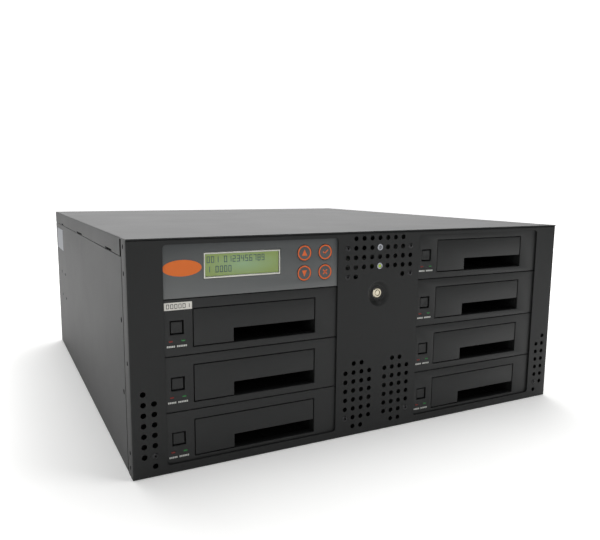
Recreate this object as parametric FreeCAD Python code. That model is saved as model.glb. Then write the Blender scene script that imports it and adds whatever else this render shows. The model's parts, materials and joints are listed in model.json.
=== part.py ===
import FreeCAD, Part
import math
import os

from FreeCAD import Vector

# A rack-size hard drive duplicator: a folded steel case four rack units high, seven trayless
# drive bays with sprung flap doors, a control panel, a key switch and two panel lights.
#
# While it is modelled, x runs to the right along the front, y runs back from the front panel's
# face and z runs up from the underside. The last step centres the whole machine on y.
# All lengths are in millimetres.

# ------------------------------------------------------------------ stack of bays and case
BAY_PITCH = 42.7            # height that each half-height device takes
BAYS_PER_COLUMN = 4
STACK_FLOOR = 4.2           # lowest bay above the underside
STACK_GAP = 0.1             # top bezel to the panel's top flange
CENTRE_STRIP = 82.6         # panel between its two openings
SIDE_STRIP = 25.5           # panel outside each opening
CASE_DEPTH = 450.0
CASE_SHEET = 1.0
PANEL_SHEET = 1.2
CAGE_SHEET = 0.8
NEST_GAP = 0.2              # between sheets that nest in one another
COVER_FLANGE = 13.5         # how far the cover's sides hang down
JOGGLE_DROP = 0.8           # from the cover's edge down to the tray's joggle
EDGE_SEAM = 0.5             # open seam along the cover's lower edge
END_SEAM = 5.5              # and from the panel's side flange back to the cover's
SIDE_SEAM = 1.7             # and back to the tray's side
JOGGLE_SLOPE = 1.4
COVER_HOOK_HEIGHT = 1.6
COVER_HOOKS = ((53.0, 26.0), (211.0, 35.0), (371.0, 12.0))   # start and length of each hook slot

# ------------------------------------------------------------------ front panel
LIP_SIDE = 1.4              # how far the panel covers a bezel at each side
LIP_END = 2.75              # and at the top and bottom of a column
OPENING_CORNER = 2.8
PANEL_FLANGE = 15.5         # sides wrap back this far
PANEL_RETURN = 12.0         # top and bottom flanges
VENT_PITCH = 8.0
VENT_RADIUS = 2.1
VENT_SIDES = 6              # each punched vent is a prism with this many sides
# Patterns of the front: O is a vent, S a screw, L a panel light, read from the top row down.
TOP_PATTERN = (
    ".OOOOOOO.",
    "SOOOLOOOS",
    "OOOOOOOOO",
    "OOOOLOOOO",
    "SO.....OS",
)
LOWER_PATTERN = (".OO.", "OOOO", "OOOO", "OOOO", "OOOO", "OOOO", "SOOO", ".OO.")
CORNER_PATTERN = ("O.", "OO", "OO", "OO", "OO", "OO", "OS", ".O")
TOP_PATTERN_DROP = 5.8      # top row below the top of the case
LOW_PATTERN_RISE = 8.5      # bottom row above the underside
LOWER_PATTERN_INNER = 8.0   # innermost column from the centre line
CORNER_PATTERN_INSET = 8.7  # outermost column from the side of the case
SCREW_HEAD_LAP = 0.4        # head past the vent that it closes
SCREW_HEAD_HEIGHT = 0.6
SCREW_HEAD_SIDES = 6
SCREW_SHANK_GAP = 0.6
SCREW_LENGTH = 7.0

# ------------------------------------------------------------------ mounting holes in the sides
SIDE_HOLE_RADIUS = 2.1
EAR_HOLE_DEPTH = 23.0
EAR_HOLE_HEIGHTS = (61.0, 116.0)
RAIL_HOLE_DEPTHS = (372.0, 408.0)
RAIL_HOLE_HEIGHTS = (72.0, 102.0)

# ------------------------------------------------------------------ drive bay, from its bay's centre and floor
BEZEL_WIDTH = 148.0
BEZEL_GAP = 0.6             # between stacked bezels
BEZEL_SETBACK = 0.2         # behind the panel's sheet
BEZEL_DEPTH = 8.0
BEZEL_WALL = 2.0
THROAT_WALL = 1.6           # walls around the doorway
DOORWAY_WIDTH = 103.4
DOORWAY_HEADROOM = 7.65     # doorway's top to the bay's top
DOORWAY_SILL = 5.55         # above the bay's floor
DOORWAY_OFFSET = 0.85       # doorway's centre from the bay's centre
DOOR_GAP = 0.75
DOOR_SETBACK = 0.3
DOOR_THICKNESS = 2.0
NOTCH_WIDTH = 71.0          # slot for the smaller drive, at the door's lower right
NOTCH_HEIGHT = 11.3
HINGE_DEPTH = 3.6           # hinge axis behind the bezel's face
HINGE_RISE = 1.05           # and above the doorway's top
HINGE_PIN_RADIUS = 1.0
HINGE_PIN_SIDES = 8
HINGE_CLEARANCE = 0.08
HINGE_CHEEK = 2.4           # cheek above the hinge axis
PIN_ENGAGEMENT = 1.2
BUTTON_SHIFT = 0.3          # button from the middle of the strip beside the throat
BUTTON_RISE = 0.2           # button above the middle of its bay
BUTTON_SIZE = 8.8
BUTTON_THICKNESS = 2.8
BUTTON_SETBACK = 0.8
BUTTON_TRAVEL = 1.2
BUTTON_STEM = 5.0
BUTTON_STEM_LENGTH = 3.6
BUTTON_GAP = 0.85           # around the button in its well
BUTTON_END_GAP = 0.6        # behind the button when it is pushed in
BUTTON_WELL_FLOOR = 1.2
BUTTON_WELL_WALL = 1.2
GUIDE_CLEARANCE = 0.25
LIGHT_DROP = 10.15          # lights below the button
LIGHT_SPACING = 9.4
LIGHT_WIDTH = 3.0
LIGHT_HEIGHT = 1.2
LIGHT_CLEARANCE = 0.05

# ------------------------------------------------------------------ rack housing behind each bezel
HOUSING_INSET = 1.0         # each side inside the bezel's
HOUSING_WALL = 1.2
HOUSING_DEPTH = 160.0
HOUSING_FLOOR_GAP = 0.8     # under each housing, from its bay's floor
RUNNER_WIDTH = 1.6
RUNNERS = 4
RUNNER_DROP = 0.25          # runner's top below the doorway's sill
BOARD_SHEET = 1.6
SWITCH_GAP = 0.5            # switch behind the pushed button's stem
SWITCH_BLOCK = 8.0
SWITCH_BLOCK_DEPTH = 1.1
BACKPLANE_INSET = 8.0       # backplane from the housing's rear edge
CONNECTOR_LENGTH = 42.0
CONNECTOR_HEIGHT = 6.0
CONNECTOR_DEPTH = 9.0
CONNECTOR_INSET = 12.0      # from the throat's right wall
CONNECTOR_RISE = 2.5

# ------------------------------------------------------------------ drive cages
CAGE_GAP = 0.4              # to the housings
CAGE_FRONT = 20.0
CAGE_OVERHANG = 0.6         # cages reach past the housings
CAGE_FOOT = 12.0
CAGE_HEADROOM = 0.7         # to the cover
CAGE_WINDOW_LENGTH = 96.0
CAGE_WINDOW_HEIGHT = 22.0

# ------------------------------------------------------------------ control panel, in the top left bay
DISPLAY_X = -10.5
DISPLAY_RISE = 1.9          # display above the middle of its bay
DISPLAY_WIDTH = 62.8
DISPLAY_HEIGHT = 19.9
DISPLAY_RIM_SIDE = 1.3
DISPLAY_RIM_END = 1.5
DISPLAY_GAP = 0.2
DISPLAY_CAN_MARGIN = 4.6
GLASS_SETBACK = 0.9
GLASS_THICKNESS = 1.6
KEYPAD_INSET = 22.6         # keypad's middle from the bezel's right side
KEYPAD_DROP = 0.4           # and below the middle of its bay
KEY_SPACING_X = 18.95
KEY_SPACING_Z = 16.15
KEY_RADIUS = 6.1
KEY_SIDES = 20              # keys and their holes are prisms with this many sides
KEY_PROUD = 0.3
KEY_THICKNESS = 1.8
KEY_TRAVEL = 0.5
KEY_STEM = 3.0
KEY_STEM_LENGTH = 2.4
KEY_SWITCH_SIZE = 6.0
KEY_SWITCH_CLEARANCE = 0.2

# ------------------------------------------------------------------ key switch and panel lights
LOCK_DROP = 15.7            # below the lowest row of the top pattern
DISH_LEDGE = 0.9            # dish's floor around the key switch
DISH_FLARE = 3.4            # from the floor's edge out to the rim
DISH_DEPTH = 3.0
DISH_BOW = 0.6              # how far the wall bows out at half its depth
LOCK_BODY_WALL = 1.7
LOCK_BODY_SIDES = 20
LOCK_BODY_GAP = 0.2
LOCK_BODY_END = 6.0         # body behind its bore
LOCK_CORE_RADIUS = 4.33
LOCK_CORE_CLEARANCE = 0.07
LOCK_CORE_LENGTH = 22.0
LOCK_CORE_PROUD = 0.4       # core in front of its body
LOCK_NUT_WALL = 2.4
LOCK_NUT_THICKNESS = 4.0
LOCK_TERMINAL_LENGTH = 8.0
LOCK_TERMINAL_WIDTH = 4.8
LOCK_TERMINAL_SHEET = 0.8
LOCK_TERMINAL_SPREAD = 3.0
KEYWAY_INNER = 2.1
KEYWAY_OUTER = 3.1
KEYWAY_DEPTH = 5.0
KEYWAY_SIDES = 8
LAMP_RIM_LAP = 0.8          # ring past the vent that it closes
LAMP_RIM_PROUD = 0.7
LAMP_SIDES = 12
LAMP_SLEEVE_GAP = 0.16
LAMP_SLEEVE_WALL = 0.39
LAMP_SLEEVE_LENGTH = 6.0
LAMP_CLEARANCE = 0.05
LAMP_LENGTH = 7.0
LAMP_BOARD_DEPTH = 9.0
LAMP_BOARD_LEFT = 4.0
LAMP_BOARD_RIGHT = 9.5
LAMP_BOARD_MARGIN = 4.6

# ------------------------------------------------------------------ power supply, rear fan and main board
PSU_DEPTH = 140.0
PSU_SIDE_GAP = 16.0         # to the case's right side
PSU_FAN_MARGIN = 2.0        # above and below the fan, inside the supply
PSU_FAN_INSET = 8.0         # fan from the supply's left side
PSU_SEAT_GAP = 0.3
PSU_WINDOW_MARGIN = 4.0     # case edge that the rear panel covers
FAN_SIZE = 80.0
FAN_DEPTH = 25.0
FAN_RIM = 2.0               # frame around its bore
FAN_HUB_RADIUS = 17.5
FAN_BORE_SIDES = 24
FAN_HUB_SIDES = 12
FAN_HUB_WALL = 1.3
FAN_TIP_GAP = 1.4
FAN_BLADES = 7
FAN_BLADE_CHORD = 24.0
FAN_BLADE_ARC_RADIUS = 26.0
FAN_BLADE_THICKNESS = 1.2
FAN_BLADE_PITCH = 38.0      # degrees
FAN_STRUT = 5.0
FAN_BACK = 3.0              # thickness of hub disc and struts
FAN_BEARING_RADIUS = 3.0
FAN_SHAFT_RADIUS = 1.5
FAN_SHAFT_CLEARANCE = 0.06
FAN_END_GAP = 0.6
REAR_FAN_X = -110.0
REAR_FAN_Z = 95.0
FAN_WALL_GAP = 0.3
GRILLE_BAR = 4.0
GRILLE_SLOT = 5.0
INLET_FAN_GAP = 19.5        # inlet moulding to the fan
INLET_MARGIN = 11.5         # and to the supply's right side
INLET_Z = 25.0              # above the supply's underside
INLET_MODULE_WIDTH = 31.0
INLET_MODULE_HEIGHT = 58.0
INLET_FLANGE = 2.0
INLET_BODY_DEPTH = 22.0
INLET_BODY_MARGIN = 1.5
SOCKET_WIDTH = 24.4
SOCKET_HEIGHT = 16.4
SOCKET_DEPTH = 17.0
SOCKET_CHAMFER = 4.0
CONTACT_WIDTH = 2.0
CONTACT_HEIGHT = 4.0
CONTACT_LENGTH = 15.0
CONTACT_SPREAD = 7.0
CONTACT_RAISE = 2.6
ROCKER_RISE = 27.0          # rocker above the socket's centre
ROCKER_WIDTH = 12.0
ROCKER_HEIGHT = 18.0
ROCKER_DEPTH = 7.0
ROCKER_PROUD = 1.2
ROCKER_TILT = 7.0           # degrees each way
ROCKER_CREST = 1.6          # how far the rocker's middle is sunk below its ends
ROCKER_GAP = 0.8
ROCKER_PIN_RADIUS = 1.2
ROCKER_PIN_CLEARANCE = 0.08
ROCKER_PIN_ENGAGEMENT = 1.0
BOARD_X = -105.0
BOARD_GAP = 30.6            # behind the rack housings
BOARD_WIDTH = 170.0
BOARD_DEPTH = 130.0
BOARD_STANDOFF = 6.0
STANDOFF_RADIUS = 3.2
STANDOFF_INSET = 6.0
BOARD_PORTS = 8
PORT_WIDTH = 6.0
PORT_LENGTH = 17.0
PORT_HEIGHT = 9.0
HEAT_SINK = 40.0
HEAT_SINK_HEIGHT = 18.0
HEAT_SINK_FINS = 6
HEAT_SINK_FIN = 1.6
HEAT_SINK_BASE = 4.0
HEAT_SINK_SETBACK = 12.0    # behind the middle of the board
PORT_INSET = 4.0            # ports from the board's front edge

# ------------------------------------------------------------------ worked out from the above
OPENING_WIDTH = BEZEL_WIDTH - 2 * LIP_SIDE
STACK_HEIGHT = BAYS_PER_COLUMN * BAY_PITCH
OPENING_HEIGHT = STACK_HEIGHT - 2 * LIP_END
COLUMN_X = CENTRE_STRIP / 2 + OPENING_WIDTH / 2
CASE_WIDTH = CENTRE_STRIP + 2 * OPENING_WIDTH + 2 * SIDE_STRIP
CASE_HEIGHT = STACK_FLOOR + STACK_HEIGHT - BEZEL_GAP / 2 + STACK_GAP + PANEL_SHEET + CASE_SHEET
HALF_WIDTH = CASE_WIDTH / 2
LOCK_Z = CASE_HEIGHT - TOP_PATTERN_DROP - (len(TOP_PATTERN) - 1) * VENT_PITCH - LOCK_DROP
SEAM_Z = CASE_HEIGHT - COVER_FLANGE
LID_UNDERSIDE = CASE_HEIGHT - CASE_SHEET
SIDE_INNER = HALF_WIDTH - CASE_SHEET
RIM_INNER = SIDE_INNER - NEST_GAP - CASE_SHEET
RIM_TOP = LID_UNDERSIDE - NEST_GAP
JOGGLE_TOP = SEAM_Z - JOGGLE_DROP
JOGGLE_FOOT = JOGGLE_TOP - JOGGLE_SLOPE
PANEL_INNER = HALF_WIDTH - PANEL_SHEET
NECK_INNER = PANEL_INNER - NEST_GAP - CASE_SHEET
BEZEL_FACE = PANEL_SHEET + BEZEL_SETBACK
BEZEL_BACK = BEZEL_FACE + BEZEL_DEPTH
BEZEL_INSIDE = BEZEL_FACE + BEZEL_WALL
HINGE_Y = BEZEL_FACE + HINGE_DEPTH
DOORWAY_HEIGHT = BAY_PITCH - DOORWAY_SILL - DOORWAY_HEADROOM
HINGE_Z = DOORWAY_SILL + DOORWAY_HEIGHT + HINGE_RISE
DOOR_FACE = BEZEL_FACE + DOOR_SETBACK
THROAT_LEFT = DOORWAY_OFFSET - DOORWAY_WIDTH / 2 - THROAT_WALL
BUTTON_X = (THROAT_LEFT - BEZEL_WIDTH / 2) / 2 + BUTTON_SHIFT
BUTTON_Z = BAY_PITCH / 2 + BUTTON_RISE
BUTTON_WELL = BUTTON_SIZE + 2 * BUTTON_GAP
BUTTON_WELL_DEPTH = BUTTON_SETBACK + BUTTON_THICKNESS + BUTTON_TRAVEL + BUTTON_END_GAP
LIGHT_Z = BUTTON_Z - LIGHT_DROP
STEM_REACH = BUTTON_SETBACK + BUTTON_THICKNESS + BUTTON_STEM_LENGTH + BUTTON_TRAVEL
FRONT_BOARD_DEPTH = STEM_REACH + SWITCH_GAP + SWITCH_BLOCK_DEPTH
HOUSING_WIDTH = BEZEL_WIDTH - 2 * HOUSING_INSET
HOUSING_BACK = BEZEL_BACK + HOUSING_DEPTH
CAGE_DEPTH = HOUSING_BACK + CAGE_OVERHANG - CAGE_FRONT
BOARD_FRONT = HOUSING_BACK + BOARD_GAP
DISPLAY_Z = BAY_PITCH / 2 + DISPLAY_RISE
DISPLAY_CAN_DEPTH = BEZEL_DEPTH - BEZEL_WALL - 2 * DISPLAY_GAP
KEYPAD_X = BEZEL_WIDTH / 2 - KEYPAD_INSET
KEYPAD_Z = BAY_PITCH / 2 - KEYPAD_DROP
SCREW_HEAD_RADIUS = VENT_RADIUS + SCREW_HEAD_LAP
SCREW_SHANK_RADIUS = VENT_RADIUS - SCREW_SHANK_GAP
LAMP_RIM_RADIUS = VENT_RADIUS + LAMP_RIM_LAP
LAMP_SLEEVE_RADIUS = VENT_RADIUS - LAMP_SLEEVE_GAP
LAMP_RADIUS = LAMP_SLEEVE_RADIUS - LAMP_SLEEVE_WALL - LAMP_CLEARANCE
LOCK_BODY_RADIUS = LOCK_CORE_RADIUS + LOCK_CORE_CLEARANCE + LOCK_BODY_WALL
LOCK_BODY_LENGTH = LOCK_CORE_LENGTH + LOCK_BODY_END
DISH_FLOOR_RADIUS = LOCK_BODY_RADIUS + LOCK_BODY_GAP + DISH_LEDGE
DISH_RADIUS = DISH_FLOOR_RADIUS + DISH_FLARE
REAR_FACE = CASE_DEPTH
REAR_INNER = REAR_FACE - CASE_SHEET
PSU_BACK = REAR_INNER - NEST_GAP
PSU_FLOOR = CASE_SHEET + PSU_SEAT_GAP
FAN_BORE_RADIUS = FAN_SIZE / 2 - FAN_RIM
FAN_TIP_RADIUS = FAN_BORE_RADIUS - FAN_TIP_GAP
PSU_HEIGHT = FAN_SIZE + 2 * (PSU_FAN_MARGIN + CASE_SHEET)
PSU_FAN_X = PSU_FAN_INSET + FAN_SIZE / 2
INLET_X = PSU_FAN_X + FAN_SIZE / 2 + INLET_FAN_GAP + INLET_MODULE_WIDTH / 2
PSU_WIDTH = INLET_X + INLET_MODULE_WIDTH / 2 + INLET_MARGIN
PSU_LEFT = SIDE_INNER - PSU_SIDE_GAP - PSU_WIDTH
# Bays in order, each (side of the front, row from the bottom): the source bay first, then the targets.
TOP_ROW = BAYS_PER_COLUMN - 1
CONTROL_BAY = (-1, TOP_ROW)
BAYS = [(-1, row) for row in reversed(range(TOP_ROW))] + [(1, row) for row in reversed(range(BAYS_PER_COLUMN))]


# ------------------------------------------------------------------ shapes used throughout
def block(x, y, z):
    """A rectangular block between three (low, high) pairs."""
    return Part.makeBox(x[1] - x[0], y[1] - y[0], z[1] - z[0], Vector(x[0], y[0], z[0]))


def slab(centre, size, y):
    """A block whose face is centred at (x, z) on the front, with a (width, height) and a (low, high) depth."""
    x, z = centre
    width, height = size
    return block((x - width / 2, x + width / 2), y, (z - height / 2, z + height / 2))


def rod_back(centre, radius, y):
    """A round bar along y through the point (x, z)."""
    return Part.makeCylinder(radius, y[1] - y[0], Vector(centre[0], y[0], centre[1]), Vector(0, 1, 0))


def rod_across(y, z, radius, x):
    """A round bar along x."""
    return Part.makeCylinder(radius, x[1] - x[0], Vector(x[0], y, z), Vector(1, 0, 0))


def prism_back(centre, radius, sides, y, turn=0.5):
    """A regular prism along y, with a flat side underneath when turn is a half."""
    x, z = centre
    corners = []
    for i in range(sides):
        angle = 2 * math.pi * (i + turn) / sides - math.pi / 2
        corners.append(Vector(x + radius * math.cos(angle), y[0], z + radius * math.sin(angle)))
    return Part.Face(Part.makePolygon(corners + corners[:1])).extrude(Vector(0, y[1] - y[0], 0))


def prism_across(y, z, radius, sides, x):
    """A regular prism along x through the point (y, z)."""
    corners = []
    for i in range(sides):
        angle = 2 * math.pi * (i + 0.5) / sides
        corners.append((y + radius * math.cos(angle), z + radius * math.sin(angle)))
    return profile_across(corners, x)


def rounded_slab(centre, size, radius, y):
    """A slab with its four corners rounded."""
    body = slab(centre, size, y)
    corners = [e for e in body.Edges if abs(e.tangentAt(e.FirstParameter).y) > 0.9]
    return body.makeFillet(radius, corners)


def profile_across(points, x):
    """A closed outline of (y, z) points, drawn out along x."""
    corners = [Vector(x[0], y, z) for y, z in points]
    return Part.Face(Part.makePolygon(corners + corners[:1])).extrude(Vector(x[1] - x[0], 0, 0))


def profile_back(points, y):
    """A closed outline of (x, z) points, drawn out along y."""
    corners = [Vector(px, y[0], pz) for px, pz in points]
    return Part.Face(Part.makePolygon(corners + corners[:1])).extrude(Vector(0, y[1] - y[0], 0))


def turned(profile, centre):
    """A closed outline of (radius, y) points or arcs, turned about the line along y through (x, z)."""
    face = Part.Face(Part.Wire(profile))
    face.translate(Vector(centre[0], 0, centre[1]))
    return face.revolve(Vector(centre[0], 0, centre[1]), Vector(0, 1, 0), 360)


def edges_through(points):
    """Straight edges through (radius, y) points, closed."""
    corners = [Vector(r, y, 0) for r, y in points]
    return Part.makePolygon(corners + corners[:1]).Edges


def folded_sheet(inner_line, thickness, draw):
    """Sheet folded along an open line of points, its bends rounded on the outside, drawn out along a vector.
    The metal lies on the side of the line away from its middle."""
    wire = Part.makePolygon(inner_line)
    sides = [wire.makeOffset2D(way * thickness, 0, True, True, False) for way in (1, -1)]
    outer = max(sides, key=lambda face: face.BoundBox.DiagonalLength)
    return outer.extrude(draw)


def joined(shapes):
    """Shapes fused into one, with the seams between flush faces removed."""
    return shapes[0].multiFuse(shapes[1:]).removeSplitter()


def pierced(body, holes):
    """A body with every hole cut from it."""
    return body.cut(Part.makeCompound(holes)).removeSplitter()


def mirrored_pair(shape):
    """A shape and its mirror image across the centre line."""
    return [shape, shape.mirror(Vector(0, 0, 0), Vector(1, 0, 0))]


def bay_place(side, row):
    """Centre and floor of a bay."""
    return side * COLUMN_X, STACK_FLOOR + row * BAY_PITCH


# ------------------------------------------------------------------ pattern of vents, screws and lights
def pattern_places(rows, first_x, top_z, mark, way=1):
    """Places of one mark in a pattern whose first column is at first_x, and whose columns run in one way."""
    places = []
    for down, row in enumerate(rows):
        for along, found in enumerate(row):
            if found == mark:
                places.append((first_x + way * along * VENT_PITCH, top_z - down * VENT_PITCH))
    return places


def front_places(mark):
    """Every place on the front panel that carries the mark."""
    half_top = (len(TOP_PATTERN[0]) - 1) / 2 * VENT_PITCH
    places = pattern_places(TOP_PATTERN, -half_top, CASE_HEIGHT - TOP_PATTERN_DROP, mark)
    lower_top = LOW_PATTERN_RISE + (len(LOWER_PATTERN) - 1) * VENT_PITCH
    lower_outer = LOWER_PATTERN_INNER + (len(LOWER_PATTERN[0]) - 1) * VENT_PITCH
    corner_top = LOW_PATTERN_RISE + (len(CORNER_PATTERN) - 1) * VENT_PITCH
    corner_outer = HALF_WIDTH - CORNER_PATTERN_INSET
    for way in (1, -1):
        places += pattern_places(LOWER_PATTERN, -way * lower_outer, lower_top, mark, way)
        places += pattern_places(CORNER_PATTERN, -way * corner_outer, corner_top, mark, way)
    return places


# ------------------------------------------------------------------ case
def front_panel():
    """Folded steel front with two openings for the bays, the vents and a pressed dish for the key switch."""
    line = [
        Vector(-PANEL_INNER, PANEL_FLANGE, 0),
        Vector(-PANEL_INNER, PANEL_SHEET, 0),
        Vector(PANEL_INNER, PANEL_SHEET, 0),
        Vector(PANEL_INNER, PANEL_FLANGE, 0),
    ]
    sheet = folded_sheet(line, PANEL_SHEET, Vector(0, 0, LID_UNDERSIDE))
    reach = NECK_INNER - NEST_GAP
    returns = [
        block((-reach, reach), (PANEL_SHEET, PANEL_RETURN), (low, low + PANEL_SHEET))
        for low in (CASE_SHEET, LID_UNDERSIDE - PANEL_SHEET)
    ]
    through = (-1.0, PANEL_SHEET + 1.0)
    middle = STACK_FLOOR + STACK_HEIGHT / 2
    openings = [
        rounded_slab((way * COLUMN_X, middle), (OPENING_WIDTH, OPENING_HEIGHT), OPENING_CORNER, through)
        for way in (-1, 1)
    ]
    vents = [
        prism_back(place, VENT_RADIUS, VENT_SIDES, through)
        for mark in "OSL"
        for place in front_places(mark)
    ]
    dish_hole = rod_back((0, LOCK_Z), DISH_RADIUS + PANEL_SHEET / 2, through)
    flat = pierced(joined([sheet] + returns), openings + vents + [dish_hole])
    return joined([flat, pressed_dish()])


def pressed_dish():
    """The dish pressed into the panel: a bowed wall down to a flat floor with a hole for the key switch."""
    hole = LOCK_BODY_RADIUS + LOCK_BODY_GAP
    back = DISH_DEPTH + PANEL_SHEET
    bow = (DISH_RADIUS + DISH_FLOOR_RADIUS) / 2 + DISH_BOW
    outline = edges_through([
        (DISH_RADIUS, 0),
        (DISH_RADIUS + PANEL_SHEET, 0),
        (DISH_RADIUS + PANEL_SHEET, PANEL_SHEET),
        (DISH_FLOOR_RADIUS + PANEL_SHEET, back),
        (hole, back),
        (hole, DISH_DEPTH),
        (DISH_FLOOR_RADIUS, DISH_DEPTH),
        (bow, DISH_DEPTH / 2),
    ])
    return turned(outline, (0, LOCK_Z))


def hook_slots(low, high):
    """Blocks that cut the cover's hook slots in both sides, between two heights."""
    reach = HALF_WIDTH + 1.0
    return [block((-reach, reach), (start, start + length), (low, high)) for start, length in COVER_HOOKS]


def chassis_tray():
    """Floor and both sides in one folded sheet. The upper edges step in behind a square ledge, so that the cover
    laps over them, and the front end steps in, so that the panel's flanges lap over it."""
    start = PANEL_FLANGE + SIDE_SEAM
    line = [(-RIM_INNER, RIM_TOP), (-RIM_INNER, JOGGLE_TOP), (-SIDE_INNER, JOGGLE_FOOT), (-SIDE_INNER, CASE_SHEET)]
    line += [(-x, z) for x, z in reversed(line)]
    tub = folded_sheet([Vector(x, start, z) for x, z in line], CASE_SHEET, Vector(0, REAR_FACE - start, 0))
    neck_start = PANEL_SHEET + NEST_GAP
    neck_line = [(-NECK_INNER, RIM_TOP), (-NECK_INNER, CASE_SHEET), (NECK_INNER, CASE_SHEET), (NECK_INNER, RIM_TOP)]
    neck = folded_sheet(
        [Vector(x, neck_start, z) for x, z in neck_line],
        CASE_SHEET,
        Vector(0, start + CASE_SHEET - neck_start, 0),
    )
    step = block((-HALF_WIDTH + CASE_SHEET / 2, -NECK_INNER), (start, start + CASE_SHEET), (0, JOGGLE_FOOT))
    ledge = block((-HALF_WIDTH, -SIDE_INNER), (start, REAR_INNER), (JOGGLE_FOOT - CASE_SHEET, SEAM_Z - EDGE_SEAM))
    rear_notch = block((-HALF_WIDTH, HALF_WIDTH), (REAR_INNER - NEST_GAP, REAR_FACE), (JOGGLE_FOOT, CASE_HEIGHT))
    both = (-HALF_WIDTH, HALF_WIDTH)
    holes = [rod_across(EAR_HOLE_DEPTH, z, SIDE_HOLE_RADIUS, both) for z in EAR_HOLE_HEIGHTS]
    holes += [prism_across(y, z, SIDE_HOLE_RADIUS, 8, both) for y in RAIL_HOLE_DEPTHS for z in RAIL_HOLE_HEIGHTS]
    slots = hook_slots(SEAM_Z - NEST_GAP, SEAM_Z + COVER_HOOK_HEIGHT)
    tray = pierced(joined([tub, neck] + mirrored_pair(step) + mirrored_pair(ledge)), [rear_notch] + holes + slots)
    return joined([tray] + board_standoffs())


def board_standoffs():
    """Hexagonal posts that stand on the tray and carry the main board."""
    posts = []
    for x in (BOARD_X - BOARD_WIDTH / 2 + STANDOFF_INSET, BOARD_X + BOARD_WIDTH / 2 - STANDOFF_INSET):
        for y in (BOARD_FRONT + STANDOFF_INSET, BOARD_FRONT + BOARD_DEPTH - STANDOFF_INSET):
            corners = [
                Vector(x + STANDOFF_RADIUS * math.cos(a), y + STANDOFF_RADIUS * math.sin(a), CASE_SHEET)
                for a in [math.pi / 3 * i for i in range(7)]
            ]
            posts.append(Part.Face(Part.makePolygon(corners)).extrude(Vector(0, 0, BOARD_STANDOFF)))
    return posts


def top_cover():
    """Lid whose sides and back hang over the tray. Its sides start behind the front panel's flanges."""
    start = PANEL_FLANGE + END_SEAM
    line = [
        Vector(-SIDE_INNER, start, SEAM_Z),
        Vector(-SIDE_INNER, start, LID_UNDERSIDE),
        Vector(SIDE_INNER, start, LID_UNDERSIDE),
        Vector(SIDE_INNER, start, SEAM_Z),
    ]
    lid = folded_sheet(line, CASE_SHEET, Vector(0, REAR_FACE - start, 0))
    brow = block((-HALF_WIDTH, HALF_WIDTH), (0, start), (LID_UNDERSIDE, CASE_HEIGHT))
    apron = block((-SIDE_INNER, SIDE_INNER), (REAR_INNER, REAR_FACE), (SEAM_Z, LID_UNDERSIDE))
    return pierced(joined([lid, brow, apron]), hook_slots(SEAM_Z - 1.0, SEAM_Z + COVER_HOOK_HEIGHT))


def grille_slots(centre, radius, y):
    """Upright slots that fill a circle, each as long as the circle allows."""
    pitch = GRILLE_BAR + GRILLE_SLOT
    count = int((radius - GRILLE_SLOT) // pitch)
    slots = []
    for i in range(-count, count + 1):
        offset = i * pitch
        reach = math.sqrt(radius ** 2 - (abs(offset) + GRILLE_SLOT / 2) ** 2)
        slots.append(slab((centre[0] + offset, centre[1]), (GRILLE_SLOT, 2 * reach), y))
    return slots


def rear_panel():
    """Back wall between the tray's sides, with the power supply's window and the fan's grille."""
    reach = SIDE_INNER - NEST_GAP
    line = [
        Vector(-reach, REAR_INNER - PANEL_RETURN, 2 * CASE_SHEET),
        Vector(-reach, REAR_INNER, 2 * CASE_SHEET),
        Vector(-reach, REAR_INNER, JOGGLE_FOOT),
        Vector(-reach, REAR_INNER - NEST_GAP - CASE_SHEET, JOGGLE_TOP),
        Vector(-reach, REAR_INNER - NEST_GAP - CASE_SHEET, RIM_TOP),
    ]
    wall = folded_sheet(line, CASE_SHEET, Vector(2 * reach, 0, 0))
    through = (REAR_INNER - 2 * PANEL_RETURN, REAR_FACE + 1.0)
    shoulder = block(
        (RIM_INNER - NEST_GAP, HALF_WIDTH), through, (JOGGLE_FOOT - CASE_SHEET, CASE_HEIGHT)
    )
    window = slab(
        psu_centre(),
        (PSU_WIDTH - 2 * PSU_WINDOW_MARGIN, PSU_HEIGHT - 2 * PSU_WINDOW_MARGIN),
        (REAR_INNER - 1.0, REAR_FACE + 1.0),
    )
    clear_foot = block(
        (PSU_LEFT - 1.0, PSU_LEFT + PSU_WIDTH + 1.0),
        (REAR_INNER - 2 * PANEL_RETURN, REAR_INNER),
        (0, 2 * CASE_SHEET),
    )
    slots = grille_slots((REAR_FAN_X, REAR_FAN_Z), FAN_BORE_RADIUS, (REAR_INNER - 1.0, REAR_FACE + 1.0))
    return pierced(wall, mirrored_pair(shoulder) + [window, clear_foot] + slots)


def drive_cage(side):
    """Bridge-shaped sheet cage that holds one column of bays by their sides, with feet on the tray."""
    centre = side * COLUMN_X
    half = HOUSING_WIDTH / 2 + CAGE_GAP
    foot = CASE_SHEET
    roof = LID_UNDERSIDE - CAGE_HEADROOM - CAGE_SHEET
    line = [(-half - CAGE_FOOT, foot), (-half, foot), (-half, roof), (half, roof), (half, foot), (half + CAGE_FOOT, foot)]
    wire = Part.makePolygon([Vector(centre + x, CAGE_FRONT, z) for x, z in line])
    sides = [wire.makeOffset2D(way * CAGE_SHEET, 0, True, True, False) for way in (1, -1)]
    outer = max(sides, key=lambda face: face.BoundBox.ZMax)
    cage = outer.extrude(Vector(0, CAGE_DEPTH, 0))
    reach = half + 2 * CAGE_SHEET
    middle = CAGE_FRONT + CAGE_DEPTH / 2
    windows = []
    for row in range(BAYS_PER_COLUMN):
        z = STACK_FLOOR + (row + 0.5) * BAY_PITCH
        windows.append(block(
            (centre - reach, centre + reach),
            (middle - CAGE_WINDOW_LENGTH / 2, middle + CAGE_WINDOW_LENGTH / 2),
            (z - CAGE_WINDOW_HEIGHT / 2, z + CAGE_WINDOW_HEIGHT / 2),
        ))
    return pierced(cage, windows)


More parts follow.
